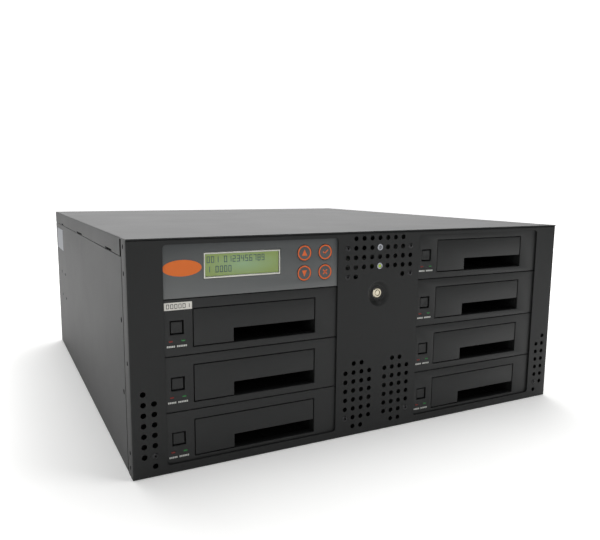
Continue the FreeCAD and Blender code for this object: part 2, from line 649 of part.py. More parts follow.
def panel_screws():
    """Low round-headed screws that hold the front panel, each through one hole of the vent pattern."""
    screws = []
    for place in front_places("S"):
        head = prism_back(place, SCREW_HEAD_RADIUS, SCREW_HEAD_SIDES, (-SCREW_HEAD_HEIGHT, 0))
        shank = prism_back(place, SCREW_SHANK_RADIUS, 6, (0, SCREW_LENGTH))
        screws.append(joined([head, shank]))
    return Part.makeCompound(screws)


# ------------------------------------------------------------------ one drive bay
def doorway(centre, floor):
    """The doorway's (low, high) across and up."""
    middle = centre + DOORWAY_OFFSET
    low = floor + DOORWAY_SILL
    return (middle - DOORWAY_WIDTH / 2, middle + DOORWAY_WIDTH / 2), (low, low + DOORWAY_HEIGHT)


def shell(centre, floor):
    """Open-backed moulded shell that fills one bay's front."""
    bottom = floor + BEZEL_GAP / 2
    top = floor + BAY_PITCH - BEZEL_GAP / 2
    half = BEZEL_WIDTH / 2
    body = block((centre - half, centre + half), (BEZEL_FACE, BEZEL_BACK), (bottom, top))
    hollow = block(
        (centre - half + BEZEL_WALL, centre + half - BEZEL_WALL),
        (BEZEL_INSIDE, BEZEL_BACK),
        (bottom + BEZEL_WALL, top - BEZEL_WALL),
    )
    return body.cut(hollow)


def bay_bezel(centre, floor):
    """Moulded bezel: doorway with a throat behind it, snap-in slots for the door's pins, the power button's
    well with its guide hole, and two windows for the light pipes."""
    (left, right), (sill, lintel) = doorway(centre, floor)
    behind = (BEZEL_FACE, BEZEL_BACK)
    cheek_top = floor + HINGE_Z + HINGE_CHEEK
    threshold = block((left - THROAT_WALL, right + THROAT_WALL), behind, (sill - THROAT_WALL, sill))
    left_cheek = block((left - THROAT_WALL, left), behind, (sill, cheek_top))
    right_cheek = block((right, right + THROAT_WALL), behind, (sill, cheek_top))
    button = (centre + BUTTON_X, floor + BUTTON_Z)
    well_back = BEZEL_FACE + BUTTON_WELL_DEPTH + BUTTON_WELL_FLOOR
    well_outer = BUTTON_WELL + 2 * BUTTON_WELL_WALL
    well = slab(button, (well_outer, well_outer), (BEZEL_FACE, well_back))
    solid = joined([shell(centre, floor), threshold, left_cheek, right_cheek, well])
    slot = HINGE_PIN_RADIUS + HINGE_CLEARANCE
    guide = BUTTON_STEM + 2 * GUIDE_CLEARANCE
    cuts = [
        block((left, right), (BEZEL_FACE - 1.0, BEZEL_INSIDE + 1.0), (sill, lintel)),
        block(
            (left - THROAT_WALL - 1.0, right + THROAT_WALL + 1.0),
            (HINGE_Y - slot, BEZEL_BACK + 1.0),
            (floor + HINGE_Z - slot, floor + HINGE_Z + slot),
        ),
        slab(button, (BUTTON_WELL, BUTTON_WELL), (BEZEL_FACE - 1.0, BEZEL_FACE + BUTTON_WELL_DEPTH)),
        slab(button, (guide, guide), (BEZEL_FACE, BEZEL_BACK)),
    ]
    for way in (-1, 1):
        place = (centre + BUTTON_X + way * LIGHT_SPACING / 2, floor + LIGHT_Z)
        size = (LIGHT_WIDTH + 2 * LIGHT_CLEARANCE, LIGHT_HEIGHT + 2 * LIGHT_CLEARANCE)
        cuts.append(slab(place, size, (BEZEL_FACE - 1.0, BEZEL_INSIDE + 1.0)))
    return pierced(solid, cuts)


def bay_door(centre, floor):
    """Flap door with its hinge rod moulded along the top, and a notch that leaves the small drive's slot open."""
    (left, right), (sill, lintel) = doorway(centre, floor)
    left_edge = left + DOOR_GAP
    right_edge = right - DOOR_GAP
    foot = sill + DOOR_GAP
    head = lintel - DOOR_GAP
    back = DOOR_FACE + DOOR_THICKNESS
    plate = block((left_edge, right_edge), (DOOR_FACE, back), (foot, head))
    hinge_z = floor + HINGE_Z
    web = profile_across(
        [
            (back - 0.2, head),
            (back, head - 3.0),
            (HINGE_Y + HINGE_PIN_RADIUS * 0.9, hinge_z),
            (HINGE_Y, hinge_z + HINGE_PIN_RADIUS * 0.6),
            (HINGE_Y - HINGE_PIN_RADIUS * 0.9, hinge_z),
        ],
        (left_edge, right_edge),
    )
    reach = DOOR_GAP + PIN_ENGAGEMENT
    rod = prism_across(
        HINGE_Y, hinge_z, HINGE_PIN_RADIUS, HINGE_PIN_SIDES, (left_edge - reach, right_edge + reach)
    )
    notch = block(
        (right - NOTCH_WIDTH, right), (DOOR_FACE - 1.0, back + 1.0), (sill, sill + NOTCH_HEIGHT)
    )
    return pierced(joined([plate, web, rod]), [notch])


def rack_housing(centre, floor):
    """Extruded-looking housing of one rack: outer skin, two inner walls that line the drive's way in, and
    runners along the floor."""
    (left, right), (sill, lintel) = doorway(centre, floor)
    half = HOUSING_WIDTH / 2
    bottom = floor + HOUSING_FLOOR_GAP
    top = floor + BAY_PITCH - HOUSING_FLOOR_GAP
    length = (BEZEL_BACK, HOUSING_BACK)
    skin = block((centre - half, centre + half), length, (bottom, top))
    inside = (bottom + HOUSING_WALL, top - HOUSING_WALL)
    inner_left = centre - half + HOUSING_WALL
    inner_right = centre + half - HOUSING_WALL
    hollows = [
        block((inner_left, left - THROAT_WALL), length, inside),
        block((left, right), length, inside),
        block((right + THROAT_WALL, inner_right), length, inside),
    ]
    spacing = DOORWAY_WIDTH / RUNNERS
    runners = []
    for i in range(RUNNERS):
        x = left + (i + 0.5) * spacing
        runners.append(block(
            (x - RUNNER_WIDTH / 2, x + RUNNER_WIDTH / 2), length, (inside[0], sill - RUNNER_DROP)
        ))
    return joined([skin.cut(Part.makeCompound(hollows))] + runners)


def power_button(centre, floor):
    """Square push button with a square stem that slides in the bezel's guide hole."""
    place = (centre + BUTTON_X, floor + BUTTON_Z)
    face = BEZEL_FACE + BUTTON_SETBACK
    back = face + BUTTON_THICKNESS
    cap = slab(place, (BUTTON_SIZE, BUTTON_SIZE), (face, back))
    stem = slab(place, (BUTTON_STEM, BUTTON_STEM), (back, back + BUTTON_STEM_LENGTH))
    return joined([cap, stem])


def light_pipe(centre, floor, way):
    """Clear bar from the bezel's face back to the rack's front board."""
    place = (centre + BUTTON_X + way * LIGHT_SPACING / 2, floor + LIGHT_Z)
    return slab(place, (LIGHT_WIDTH, LIGHT_HEIGHT), (BEZEL_FACE, BEZEL_FACE + FRONT_BOARD_DEPTH))


def rack_boards(centre, floor):
    """The rack's two circuit boards: one behind the button, and the backplane with the drive's connector."""
    (left, right), (sill, lintel) = doorway(centre, floor)
    bottom = floor + HOUSING_FLOOR_GAP + HOUSING_WALL + GUIDE_CLEARANCE
    top = floor + BAY_PITCH - HOUSING_FLOOR_GAP - HOUSING_WALL - GUIDE_CLEARANCE
    board_face = BEZEL_FACE + FRONT_BOARD_DEPTH
    front = block(
        (centre - HOUSING_WIDTH / 2 + HOUSING_WALL + GUIDE_CLEARANCE, left - THROAT_WALL - GUIDE_CLEARANCE),
        (board_face, board_face + BOARD_SHEET),
        (bottom, top),
    )
    switch = slab(
        (centre + BUTTON_X, floor + BUTTON_Z),
        (SWITCH_BLOCK, SWITCH_BLOCK),
        (board_face - SWITCH_BLOCK_DEPTH, board_face),
    )
    back_face = HOUSING_BACK - BACKPLANE_INSET
    shelf = sill - RUNNER_DROP + GUIDE_CLEARANCE
    backplane = block(
        (left + GUIDE_CLEARANCE, right - GUIDE_CLEARANCE), (back_face, back_face + BOARD_SHEET), (shelf, top)
    )
    connector = block(
        (right - CONNECTOR_INSET - CONNECTOR_LENGTH, right - CONNECTOR_INSET),
        (back_face - CONNECTOR_DEPTH, back_face),
        (shelf + CONNECTOR_RISE, shelf + CONNECTOR_RISE + CONNECTOR_HEIGHT),
    )
    return [joined([front, switch]), joined([backplane, connector])]


# ------------------------------------------------------------------ control panel
def key_places():
    """Each key's name and its centre."""
    centre, floor = bay_place(*CONTROL_BAY)
    places = {}
    for name, across, up in (("up", -1, 1), ("down", -1, -1), ("enter", 1, 1), ("escape", 1, -1)):
        x = centre + KEYPAD_X + across * KEY_SPACING_X / 2
        places[name] = (x, floor + KEYPAD_Z + up * KEY_SPACING_Z / 2)
    return places


def display_centre():
    """Centre of the display on the front."""
    centre, floor = bay_place(*CONTROL_BAY)
    return centre + DISPLAY_X, floor + DISPLAY_Z


def control_fascia():
    """Moulded fascia with a window for the display and a round hole for each key."""
    centre, floor = bay_place(*CONTROL_BAY)
    through = (BEZEL_FACE - 1.0, BEZEL_INSIDE + 1.0)
    window = slab(display_centre(), (DISPLAY_WIDTH, DISPLAY_HEIGHT), through)
    holes = [
        prism_back(place, KEY_RADIUS + GUIDE_CLEARANCE, KEY_SIDES, through) for place in key_places().values()
    ]
    return pierced(shell(centre, floor), [window] + holes)


def display_frame():
    """Metal frame of the display: a can behind the fascia and a raised rim that fills the window."""
    place = display_centre()
    rim = (DISPLAY_WIDTH - 2 * DISPLAY_GAP, DISPLAY_HEIGHT - 2 * DISPLAY_GAP)
    can = (DISPLAY_WIDTH + 2 * DISPLAY_CAN_MARGIN, DISPLAY_HEIGHT + 2 * DISPLAY_CAN_MARGIN)
    can_face = BEZEL_INSIDE + DISPLAY_GAP
    can_back = can_face + DISPLAY_CAN_DEPTH
    body = joined([slab(place, rim, (BEZEL_FACE, can_face)), slab(place, can, (can_face, can_back))])
    view = (DISPLAY_WIDTH - 2 * DISPLAY_RIM_SIDE, DISPLAY_HEIGHT - 2 * DISPLAY_RIM_END)
    inside = (can[0] - 2 * CAGE_SHEET, can[1] - 2 * CAGE_SHEET)
    opening = slab(place, view, (BEZEL_FACE - 1.0, can_face + 1.0))
    return pierced(body, [opening, slab(place, inside, (can_face + CAGE_SHEET, can_back))])


def display_glass():
    """The display's glass in its rim, with the lit block behind it inside the can."""
    place = display_centre()
    view = (
        DISPLAY_WIDTH - 2 * DISPLAY_RIM_SIDE - 2 * DISPLAY_GAP,
        DISPLAY_HEIGHT - 2 * DISPLAY_RIM_END - 2 * DISPLAY_GAP,
    )
    can_face = BEZEL_INSIDE + DISPLAY_GAP
    margin = DISPLAY_CAN_MARGIN - CAGE_SHEET - DISPLAY_GAP
    backing = (DISPLAY_WIDTH + 2 * margin, DISPLAY_HEIGHT + 2 * margin)
    face = BEZEL_FACE + GLASS_SETBACK
    step = can_face + CAGE_SHEET + DISPLAY_GAP
    back = can_face + DISPLAY_CAN_DEPTH - DISPLAY_GAP
    return joined([slab(place, view, (face, step)), slab(place, backing, (step, back))])


def control_board():
    """Board on the fascia's rear edge, with a small switch in line with each key."""
    centre, floor = bay_place(*CONTROL_BAY)
    half = BEZEL_WIDTH / 2 - BEZEL_WALL / 2
    face = BEZEL_BACK
    edge = BEZEL_GAP / 2 + BEZEL_WALL / 2
    board = block(
        (centre - half, centre + half), (face, face + BOARD_SHEET), (floor + edge, floor + BAY_PITCH - edge)
    )
    stem_end = BEZEL_FACE - KEY_PROUD + KEY_THICKNESS + KEY_STEM_LENGTH
    front = stem_end + KEY_TRAVEL + KEY_SWITCH_CLEARANCE
    size = (KEY_SWITCH_SIZE, KEY_SWITCH_SIZE)
    return joined([board] + [slab(place, size, (front, face)) for place in key_places().values()])


def keypad_key(place):
    """Round key with a square stem that presses its switch."""
    face = BEZEL_FACE - KEY_PROUD
    back = face + KEY_THICKNESS
    stem = slab(place, (KEY_STEM, KEY_STEM), (back, back + KEY_STEM_LENGTH))
    return joined([prism_back(place, KEY_RADIUS, KEY_SIDES, (face, back)), stem])


# ------------------------------------------------------------------ key switch and panel lights
def lock_body():
    """Barrel of the key switch behind the dish, with its nut and two terminals."""
    face = DISH_DEPTH - LOCK_BODY_GAP
    back = face + LOCK_BODY_LENGTH
    centre = (0, LOCK_Z)
    barrel = prism_back(centre, LOCK_BODY_RADIUS, LOCK_BODY_SIDES, (face, back))
    seat = DISH_DEPTH + PANEL_SHEET
    nut_radius = (LOCK_BODY_RADIUS + LOCK_NUT_WALL) / math.cos(math.pi / 6)
    nut = prism_back(centre, nut_radius, 6, (seat, seat + LOCK_NUT_THICKNESS))
    tab = (LOCK_TERMINAL_SHEET, LOCK_TERMINAL_WIDTH)
    terminals = [
        slab((way * LOCK_TERMINAL_SPREAD, LOCK_Z), tab, (back, back + LOCK_TERMINAL_LENGTH)) for way in (-1, 1)
    ]
    bore = rod_back(centre, LOCK_CORE_RADIUS + LOCK_CORE_CLEARANCE, (face - 1.0, face + LOCK_CORE_LENGTH))
    return pierced(joined([barrel, nut] + terminals), [bore])


def lock_core():
    """Turning core with a keyway around its post, cut as a ring-shaped groove with a notch for the key's rib."""
    face = DISH_DEPTH - LOCK_BODY_GAP - LOCK_CORE_PROUD
    back = face + LOCK_CORE_PROUD + LOCK_CORE_LENGTH - LOCK_BODY_GAP
    centre = (0, LOCK_Z)
    core = rod_back(centre, LOCK_CORE_RADIUS, (face, back))
    depth = (face - 1.0, face + KEYWAY_DEPTH)
    groove = prism_back(centre, KEYWAY_OUTER, KEYWAY_SIDES, depth)
    groove = groove.cut(prism_back(centre, KEYWAY_INNER, KEYWAY_SIDES, depth))
    key_notch = slab((0, LOCK_Z + KEYWAY_OUTER), (1.2, 1.6), depth)
    return pierced(core, [groove, key_notch])


def lamp_holder(place):
    """Bright ring on the panel with a sleeve through one hole of the vent pattern."""
    bore = LAMP_RADIUS + LAMP_CLEARANCE
    rim = prism_back(place, LAMP_RIM_RADIUS, LAMP_SIDES, (-LAMP_RIM_PROUD, 0))
    sleeve = prism_back(place, LAMP_SLEEVE_RADIUS, 6, (0, LAMP_SLEEVE_LENGTH))
    opening = prism_back(place, bore, 6, (-LAMP_RIM_PROUD - 1.0, LAMP_SLEEVE_LENGTH + 1.0))
    return pierced(joined([rim, sleeve]), [opening])


def lamp(place):
    """Light-emitting diode in its holder, with two leads to the board behind."""
    bulb = prism_back(place, LAMP_RADIUS, 6, (-LAMP_RIM_PROUD * 0.4, LAMP_LENGTH))
    leads = [
        slab((place[0] + way * 0.8, place[1]), (0.5, 0.5), (LAMP_LENGTH, LAMP_BOARD_DEPTH)) for way in (-1, 1)
    ]
    return joined([bulb] + leads)


def lamp_board():
    """Small board that joins the two panel lights behind the vents."""
    heights = [z for x, z in front_places("L")]
    return block(
        (-LAMP_BOARD_LEFT, LAMP_BOARD_RIGHT),
        (LAMP_BOARD_DEPTH, LAMP_BOARD_DEPTH + BOARD_SHEET),
        (min(heights) - LAMP_BOARD_MARGIN, max(heights) + LAMP_BOARD_MARGIN),
    )


# ------------------------------------------------------------------ fans
def fan_frame(centre, back):
    """Square fan frame with its bore, and the struts, hub disc and bearing that carry the rotor."""
    front = back - FAN_DEPTH
    body = slab(centre, (FAN_SIZE, FAN_SIZE), (front, back))
    ring = body.cut(prism_back(centre, FAN_BORE_RADIUS, FAN_BORE_SIDES, (front, back)))
    plate = (back - FAN_BACK, back)
    reach = 2 * FAN_BORE_RADIUS + 1.0
    struts = [slab(centre, (reach, FAN_STRUT), plate), slab(centre, (FAN_STRUT, reach), plate)]
    disc = prism_back(centre, FAN_HUB_RADIUS, FAN_HUB_SIDES, plate)
    bearing_front = front + FAN_HUB_WALL + 2 * FAN_END_GAP
    bearing = prism_back(centre, FAN_BEARING_RADIUS, 8, (bearing_front, back))
    bore = rod_back(centre, FAN_SHAFT_RADIUS + FAN_SHAFT_CLEARANCE, (front, back - 1.0))
    return pierced(joined([ring] + struts + [disc, bearing]), [bore])


def fan_blade(centre, front, back, angle):
    """One blade: a strip bent along an arc, set at a pitch and drawn out from the hub to the tip."""
    half_sweep = FAN_BLADE_CHORD / 2 / FAN_BLADE_ARC_RADIUS
    inner_radius = FAN_BLADE_ARC_RADIUS - FAN_BLADE_THICKNESS
    sweep = (-half_sweep, 0, half_sweep)
    strip = [(FAN_BLADE_ARC_RADIUS, turn) for turn in sweep] + [(inner_radius, turn) for turn in reversed(sweep)]
    root = FAN_HUB_RADIUS * math.cos(math.pi / FAN_HUB_SIDES) - 0.5
    corners = [
        Vector(radius * math.sin(turn), radius * math.cos(turn) - FAN_BLADE_ARC_RADIUS, root)
        for radius, turn in strip
    ]
    section = Part.Face(Part.makePolygon(corners + corners[:1]))
    blade = section.extrude(Vector(0, 0, FAN_TIP_RADIUS - 1.0 - root))
    blade.rotate(Vector(0, 0, 0), Vector(0, 0, 1), FAN_BLADE_PITCH)
    blade.rotate(Vector(0, 0, 0), Vector(0, 1, 0), angle)
    blade.translate(Vector(centre[0], (front + back) / 2, centre[1]))
    return blade


def fan_rotor(centre, back):
    """Rotor: a hub cup over the bearing, a shaft in it and a ring of pitched blades."""
    front = back - FAN_DEPTH + FAN_END_GAP
    rear = back - FAN_BACK - FAN_END_GAP
    cup = prism_back(centre, FAN_HUB_RADIUS, FAN_HUB_SIDES, (front, rear))
    hollow = prism_back(centre, FAN_HUB_RADIUS - FAN_HUB_WALL, FAN_HUB_SIDES, (front + FAN_HUB_WALL, rear))
    cup = cup.cut(hollow)
    shaft = rod_back(centre, FAN_SHAFT_RADIUS, (front, back - 2.0))
    blades = [fan_blade(centre, front, rear, 360.0 * i / FAN_BLADES) for i in range(FAN_BLADES)]
    return joined([cup, shaft] + blades)


# ------------------------------------------------------------------ power supply
def psu_centre():
    """Centre of the power supply's rear face."""
    return PSU_LEFT + PSU_WIDTH / 2, PSU_FLOOR + PSU_HEIGHT / 2


def psu_fan_place():
    """Centre of the power supply's fan, and the depth of its rear face."""
    return (PSU_LEFT + PSU_FAN_X, PSU_FLOOR + PSU_HEIGHT / 2), PSU_BACK - CASE_SHEET - FAN_WALL_GAP


def inlet_place():
    """Centre of the mains socket."""
    return PSU_LEFT + INLET_X, PSU_FLOOR + INLET_Z


def module_middle():
    """Centre of the moulding that holds the socket and the rocker."""
    x, z = inlet_place()
    return x, z + ROCKER_RISE / 2 + 1.5


def psu_case():
    """Steel case of the power supply with its fan grille and the opening for the inlet moulding."""
    front = PSU_BACK - PSU_DEPTH
    outer = slab(psu_centre(), (PSU_WIDTH, PSU_HEIGHT), (front, PSU_BACK))
    inner_size = (PSU_WIDTH - 2 * CASE_SHEET, PSU_HEIGHT - 2 * CASE_SHEET)
    inner = slab(psu_centre(), inner_size, (front + CASE_SHEET, PSU_BACK - CASE_SHEET))
    fan_centre, fan_back = psu_fan_place()
    through = (PSU_BACK - CASE_SHEET - 1.0, PSU_BACK + 1.0)
    slots = grille_slots(fan_centre, FAN_BORE_RADIUS, through)
    margin = 2 * INLET_BODY_MARGIN - 2 * NEST_GAP
    module = slab(module_middle(), (INLET_MODULE_WIDTH - margin, INLET_MODULE_HEIGHT - margin), through)
    return pierced(outer, [inner, module] + slots)


def psu_inlet():
    """Black moulding with the mains socket, its three contacts and the rocker's frame."""
    middle = module_middle()
    flange = slab(middle, (INLET_MODULE_WIDTH, INLET_MODULE_HEIGHT), (PSU_BACK, PSU_BACK + INLET_FLANGE))
    body_size = (INLET_MODULE_WIDTH - 2 * INLET_BODY_MARGIN, INLET_MODULE_HEIGHT - 2 * INLET_BODY_MARGIN)
    body = slab(middle, body_size, (PSU_BACK - INLET_BODY_DEPTH, PSU_BACK))
    face = PSU_BACK + INLET_FLANGE
    x, z = inlet_place()
    half_w = SOCKET_WIDTH / 2
    half_h = SOCKET_HEIGHT / 2
    outline = [
        (x - half_w, z - half_h),
        (x + half_w, z - half_h),
        (x + half_w, z + half_h - SOCKET_CHAMFER),
        (x + half_w - SOCKET_CHAMFER, z + half_h),
        (x - half_w + SOCKET_CHAMFER, z + half_h),
        (x - half_w, z + half_h - SOCKET_CHAMFER),
    ]
    socket = profile_back(outline, (face - SOCKET_DEPTH, face + 1.0))
    rocker_y, rocker_z = rocker_axis()
    clear = (ROCKER_WIDTH + 2 * ROCKER_GAP, ROCKER_HEIGHT + 2 * ROCKER_GAP)
    pocket_floor = rocker_y - ROCKER_DEPTH
    pocket = slab((x, rocker_z), clear, (pocket_floor, face + 1.0))
    slot = ROCKER_PIN_RADIUS + ROCKER_PIN_CLEARANCE
    pin_reach = ROCKER_WIDTH / 2 + ROCKER_GAP + ROCKER_PIN_ENGAGEMENT + 0.2
    pin_slot = block(
        (x - pin_reach, x + pin_reach), (pocket_floor, rocker_y + slot), (rocker_z - slot, rocker_z + slot)
    )
    solid = pierced(joined([flange, body]), [socket, pocket, pin_slot])
    root = face - SOCKET_DEPTH
    spots = [(x - CONTACT_SPREAD, z - CONTACT_RAISE), (x + CONTACT_SPREAD, z - CONTACT_RAISE), (x, z + CONTACT_RAISE)]
    contacts = [slab(spot, (CONTACT_WIDTH, CONTACT_HEIGHT), (root, root + CONTACT_LENGTH)) for spot in spots]
    return joined([solid] + contacts)


def rocker_axis():
    """Depth and height of the rocker's axis."""
    return PSU_BACK + INLET_FLANGE - ROCKER_DEPTH / 2, inlet_place()[1] + ROCKER_RISE


def psu_rocker():
    """Rocker with a hollow face, tipped to its off side, on a pin across its middle."""
    y, z = rocker_axis()
    x = inlet_place()[0]
    half = ROCKER_HEIGHT / 2
    crown = ROCKER_DEPTH / 2 + ROCKER_PROUD
    outline = [
        (y - ROCKER_DEPTH / 2, z - half + 2.0),
        (y + crown, z - half),
        (y + crown - ROCKER_CREST, z),
        (y + crown, z + half),
        (y - ROCKER_DEPTH / 2, z + half - 2.0),
    ]
    body = profile_across(outline, (x - ROCKER_WIDTH / 2, x + ROCKER_WIDTH / 2))
    reach = ROCKER_WIDTH / 2 + ROCKER_GAP + ROCKER_PIN_ENGAGEMENT
    rocker = joined([body, prism_across(y, z, ROCKER_PIN_RADIUS, 8, (x - reach, x + reach))])
    rocker.rotate(Vector(x, y, z), Vector(1, 0, 0), -ROCKER_TILT)
    return rocker


# ------------------------------------------------------------------ main board
def duplicator_board():
    """Main board on its standoffs, with a port for each drive and a finned heat sink on the controller."""
    z = CASE_SHEET + BOARD_STANDOFF
    top = z + BOARD_SHEET
    left = BOARD_X - BOARD_WIDTH / 2
    board = block((left, left + BOARD_WIDTH), (BOARD_FRONT, BOARD_FRONT + BOARD_DEPTH), (z, top))
    pitch = BOARD_WIDTH / BOARD_PORTS
    ports = []
    for i in range(BOARD_PORTS):
        x = left + (i + 0.5) * pitch
        ports.append(block(
            (x - PORT_WIDTH / 2, x + PORT_WIDTH / 2),
            (BOARD_FRONT + PORT_INSET, BOARD_FRONT + PORT_INSET + PORT_LENGTH),
            (top, top + PORT_HEIGHT),
        ))
    middle_y = BOARD_FRONT + BOARD_DEPTH / 2 + HEAT_SINK_SETBACK
    half = HEAT_SINK / 2
    fin_foot = top + HEAT_SINK_BASE
    base = block((BOARD_X - half, BOARD_X + half), (middle_y - half, middle_y + half), (top, fin_foot))
    fin_pitch = (HEAT_SINK - HEAT_SINK_FIN) / (HEAT_SINK_FINS - 1)
    fins = []
    for i in range(HEAT_SINK_FINS):
        x = BOARD_X - half + i * fin_pitch
        fins.append(block(
            (x, x + HEAT_SINK_FIN), (middle_y - half, middle_y + half), (fin_foot, top + HEAT_SINK_HEIGHT)
        ))
    return joined([board, base] + ports + fins)


# ------------------------------------------------------------------ the whole machine
def all_nodes():
    """Every named piece, in the frame in which it is modelled."""
    lights = sorted(front_places("L"), key=lambda place: -place[1])
    psu_fan_centre, psu_fan_back = psu_fan_place()
    rear_fan = (REAR_FAN_X, REAR_FAN_Z)
    rear_fan_back = REAR_INNER - FAN_WALL_GAP
    nodes = {
        "chassis_tray": chassis_tray(),
        "front_panel": front_panel(),
        "rear_panel": rear_panel(),
        "top_cover": top_cover(),
        "left_drive_cage": drive_cage(-1),
        "right_drive_cage": drive_cage(1),
        "panel_screws": panel_screws(),
        "duplicator_board": duplicator_board(),
        "control_fascia": control_fascia(),
        "display_frame": display_frame(),
        "display_glass": display_glass(),
        "control_board": control_board(),
        "key_switch_body": lock_body(),
        "key_switch_core": lock_core(),
        "lamp_holders": Part.makeCompound([lamp_holder(place) for place in lights]),
        "panel_lamps": Part.makeCompound([lamp(place) for place in lights]),
        "lamp_board": lamp_board(),
        "psu_case": psu_case(),
        "psu_inlet": psu_inlet(),
        "psu_rocker": psu_rocker(),
        "psu_fan_frame": fan_frame(psu_fan_centre, psu_fan_back),
        "psu_fan_rotor": fan_rotor(psu_fan_centre, psu_fan_back),
        "rear_fan_frame": fan_frame(rear_fan, rear_fan_back),
        "rear_fan_rotor": fan_rotor(rear_fan, rear_fan_back),
    }
    for name, place in key_places().items():
        nodes[f"key_{name}"] = keypad_key(place)
    power_pipes = []
    access_pipes = []
    boards = []
    for number, bay in enumerate(BAYS, start=1):
        centre, floor = bay_place(*bay)
        nodes[f"bay_bezel_{number}"] = bay_bezel(centre, floor)
        nodes[f"bay_door_{number}"] = bay_door(centre, floor)
        nodes[f"rack_housing_{number}"] = rack_housing(centre, floor)
        nodes[f"power_button_{number}"] = power_button(centre, floor)
        power_pipes.append(light_pipe(centre, floor, -1))
        access_pipes.append(light_pipe(centre, floor, 1))
        boards += rack_boards(centre, floor)
    nodes["power_light_pipes"] = Part.makeCompound(power_pipes)
    nodes["access_light_pipes"] = Part.makeCompound(access_pipes)
    nodes["rack_boards"] = Part.makeCompound(boards)
    return nodes


def centring_shift(nodes):
    """The move along y that puts the middle of the whole machine at zero."""
    boxes = [shape.optimalBoundingBox(False, False) for shape in nodes.values()]
    return -(min(box.YMin for box in boxes) + max(box.YMax for box in boxes)) / 2


NODES = all_nodes()
SHIFT_Y = centring_shift(NODES)
os.makedirs("parts", exist_ok=True)
for name, shape in NODES.items():
    shape.translate(Vector(0, SHIFT_Y, 0))
    shape.exportStep(f"parts/{name}.step")
print("nodes", len(NODES), "shift along y", round(SHIFT_Y, 4))
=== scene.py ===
import json
import math

import bpy
from mathutils import Matrix, Vector


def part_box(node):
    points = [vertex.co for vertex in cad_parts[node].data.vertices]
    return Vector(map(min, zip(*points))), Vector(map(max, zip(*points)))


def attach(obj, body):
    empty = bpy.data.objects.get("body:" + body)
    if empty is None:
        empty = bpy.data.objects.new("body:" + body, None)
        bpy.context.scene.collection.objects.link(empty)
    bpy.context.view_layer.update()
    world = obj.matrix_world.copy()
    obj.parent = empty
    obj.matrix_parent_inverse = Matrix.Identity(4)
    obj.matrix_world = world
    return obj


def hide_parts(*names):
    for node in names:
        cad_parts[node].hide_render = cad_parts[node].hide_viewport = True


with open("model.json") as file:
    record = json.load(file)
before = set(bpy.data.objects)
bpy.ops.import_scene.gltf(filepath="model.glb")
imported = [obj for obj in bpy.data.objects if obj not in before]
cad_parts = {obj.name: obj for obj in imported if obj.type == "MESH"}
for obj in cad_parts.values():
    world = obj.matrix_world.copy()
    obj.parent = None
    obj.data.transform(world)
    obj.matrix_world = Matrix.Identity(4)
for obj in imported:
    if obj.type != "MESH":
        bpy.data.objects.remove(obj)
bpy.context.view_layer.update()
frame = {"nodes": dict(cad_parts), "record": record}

# Sizes below are millimetres: x runs across from the centre line, y back from the panel's face,
# and z up from the underside.
MM = 0.001
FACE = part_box("front_panel")[0][1]
CASE_HALF = 212.0
CASE_TOP = 177.0
PANEL_TOP = 176.0
PANEL_SHEET = 1.2
PANEL_WRAP = 15.5
PANEL_BEND = 1.3
OPENING_CENTRE = 113.9
OPENING_HALF = 72.6
OPENING_LOW = 6.95
OPENING_HIGH = 172.25
OPENING_CORNER = 2.8
THROUGH_PANEL = (-3, 3)
VENT_RADIUS = 2.1
VENT_PITCH = 8.0
# Vent patterns, row by row from the top: O is a vent, S a screw, L a light and a dot is plain sheet.
TOP_ROWS = (".OOOOOOO.", "SOOOLOOOS", "OOOOOOOOO", "OOOOLOOOO", "SO.....OS")
LOWER_ROWS = (".OO.", "OOOO", "OOOO", "OOOO", "OOOO", "OOOO", "SOOO", ".OO.")
CORNER_ROWS = ("O.", "OO", "OO", "OO", "OO", "OO", "OS", ".O")
TOP_ROWS_Z = CASE_TOP - 5.8
LOWER_ROWS_Z = 8.5 + 7 * VENT_PITCH
CORNER_COLUMN = CASE_HALF - 8.7
BEZEL_FACE = 1.4
BEZEL_INSIDE = 3.4
BEZEL_BACK = 9.4
THROUGH_BEZEL = (-5, 10)
LOCK_Z = 123.5
DISH_RADIUS = 11.2


# ------------------------------------------------------------------ colour and materials
PATCH_SIZE = 60.0  # broad patches of wear and uneven coating


def linear(code):
    """An sRGB hex colour as linear red, green, blue and alpha."""
    parts = [int(code[i:i + 2], 16) / 255 for i in (1, 3, 5)]
    return tuple(c / 12.92 if c <= 0.04045 else ((c + 0.055) / 1.055) ** 2.4 for c in parts) + (1.0,)


def add_node(owner, kind, links=None, **settings):
    """Adds a node to a material or the world, gives it its settings and links sockets to its inputs."""
    made = owner.node_tree.nodes.new(kind)
    for key, value in settings.items():
        if key in made.inputs:
            made.inputs[key].default_value = value
        else:
            setattr(made, key, value)
    for socket, source in (links or {}).items():
        owner.node_tree.links.new(source, made.inputs[socket])
    return made


def finish(name, colour, roughness, metallic=0.0, ior=1.5, level=0.5, glow=None, glow_strength=0.0):
    """A material with its shader set, ready for the nodes that break up its surface."""
    material = bpy.data.materials.new(name)
    material.use_nodes = True
    shader = material.node_tree.nodes["Principled BSDF"]
    shader.inputs["Base Color"].default_value = linear(colour)
    shader.inputs["Roughness"].default_value = roughness
    shader.inputs["Metallic"].default_value = metallic
    if metallic < 0.5:
        shader.inputs["IOR"].default_value = ior
    shader.inputs["Specular IOR Level"].default_value = level
    if glow:
        shader.inputs["Emission Color"].default_value = linear(glow)
        shader.inputs["Emission Strength"].default_value = glow_strength
    return material, shader


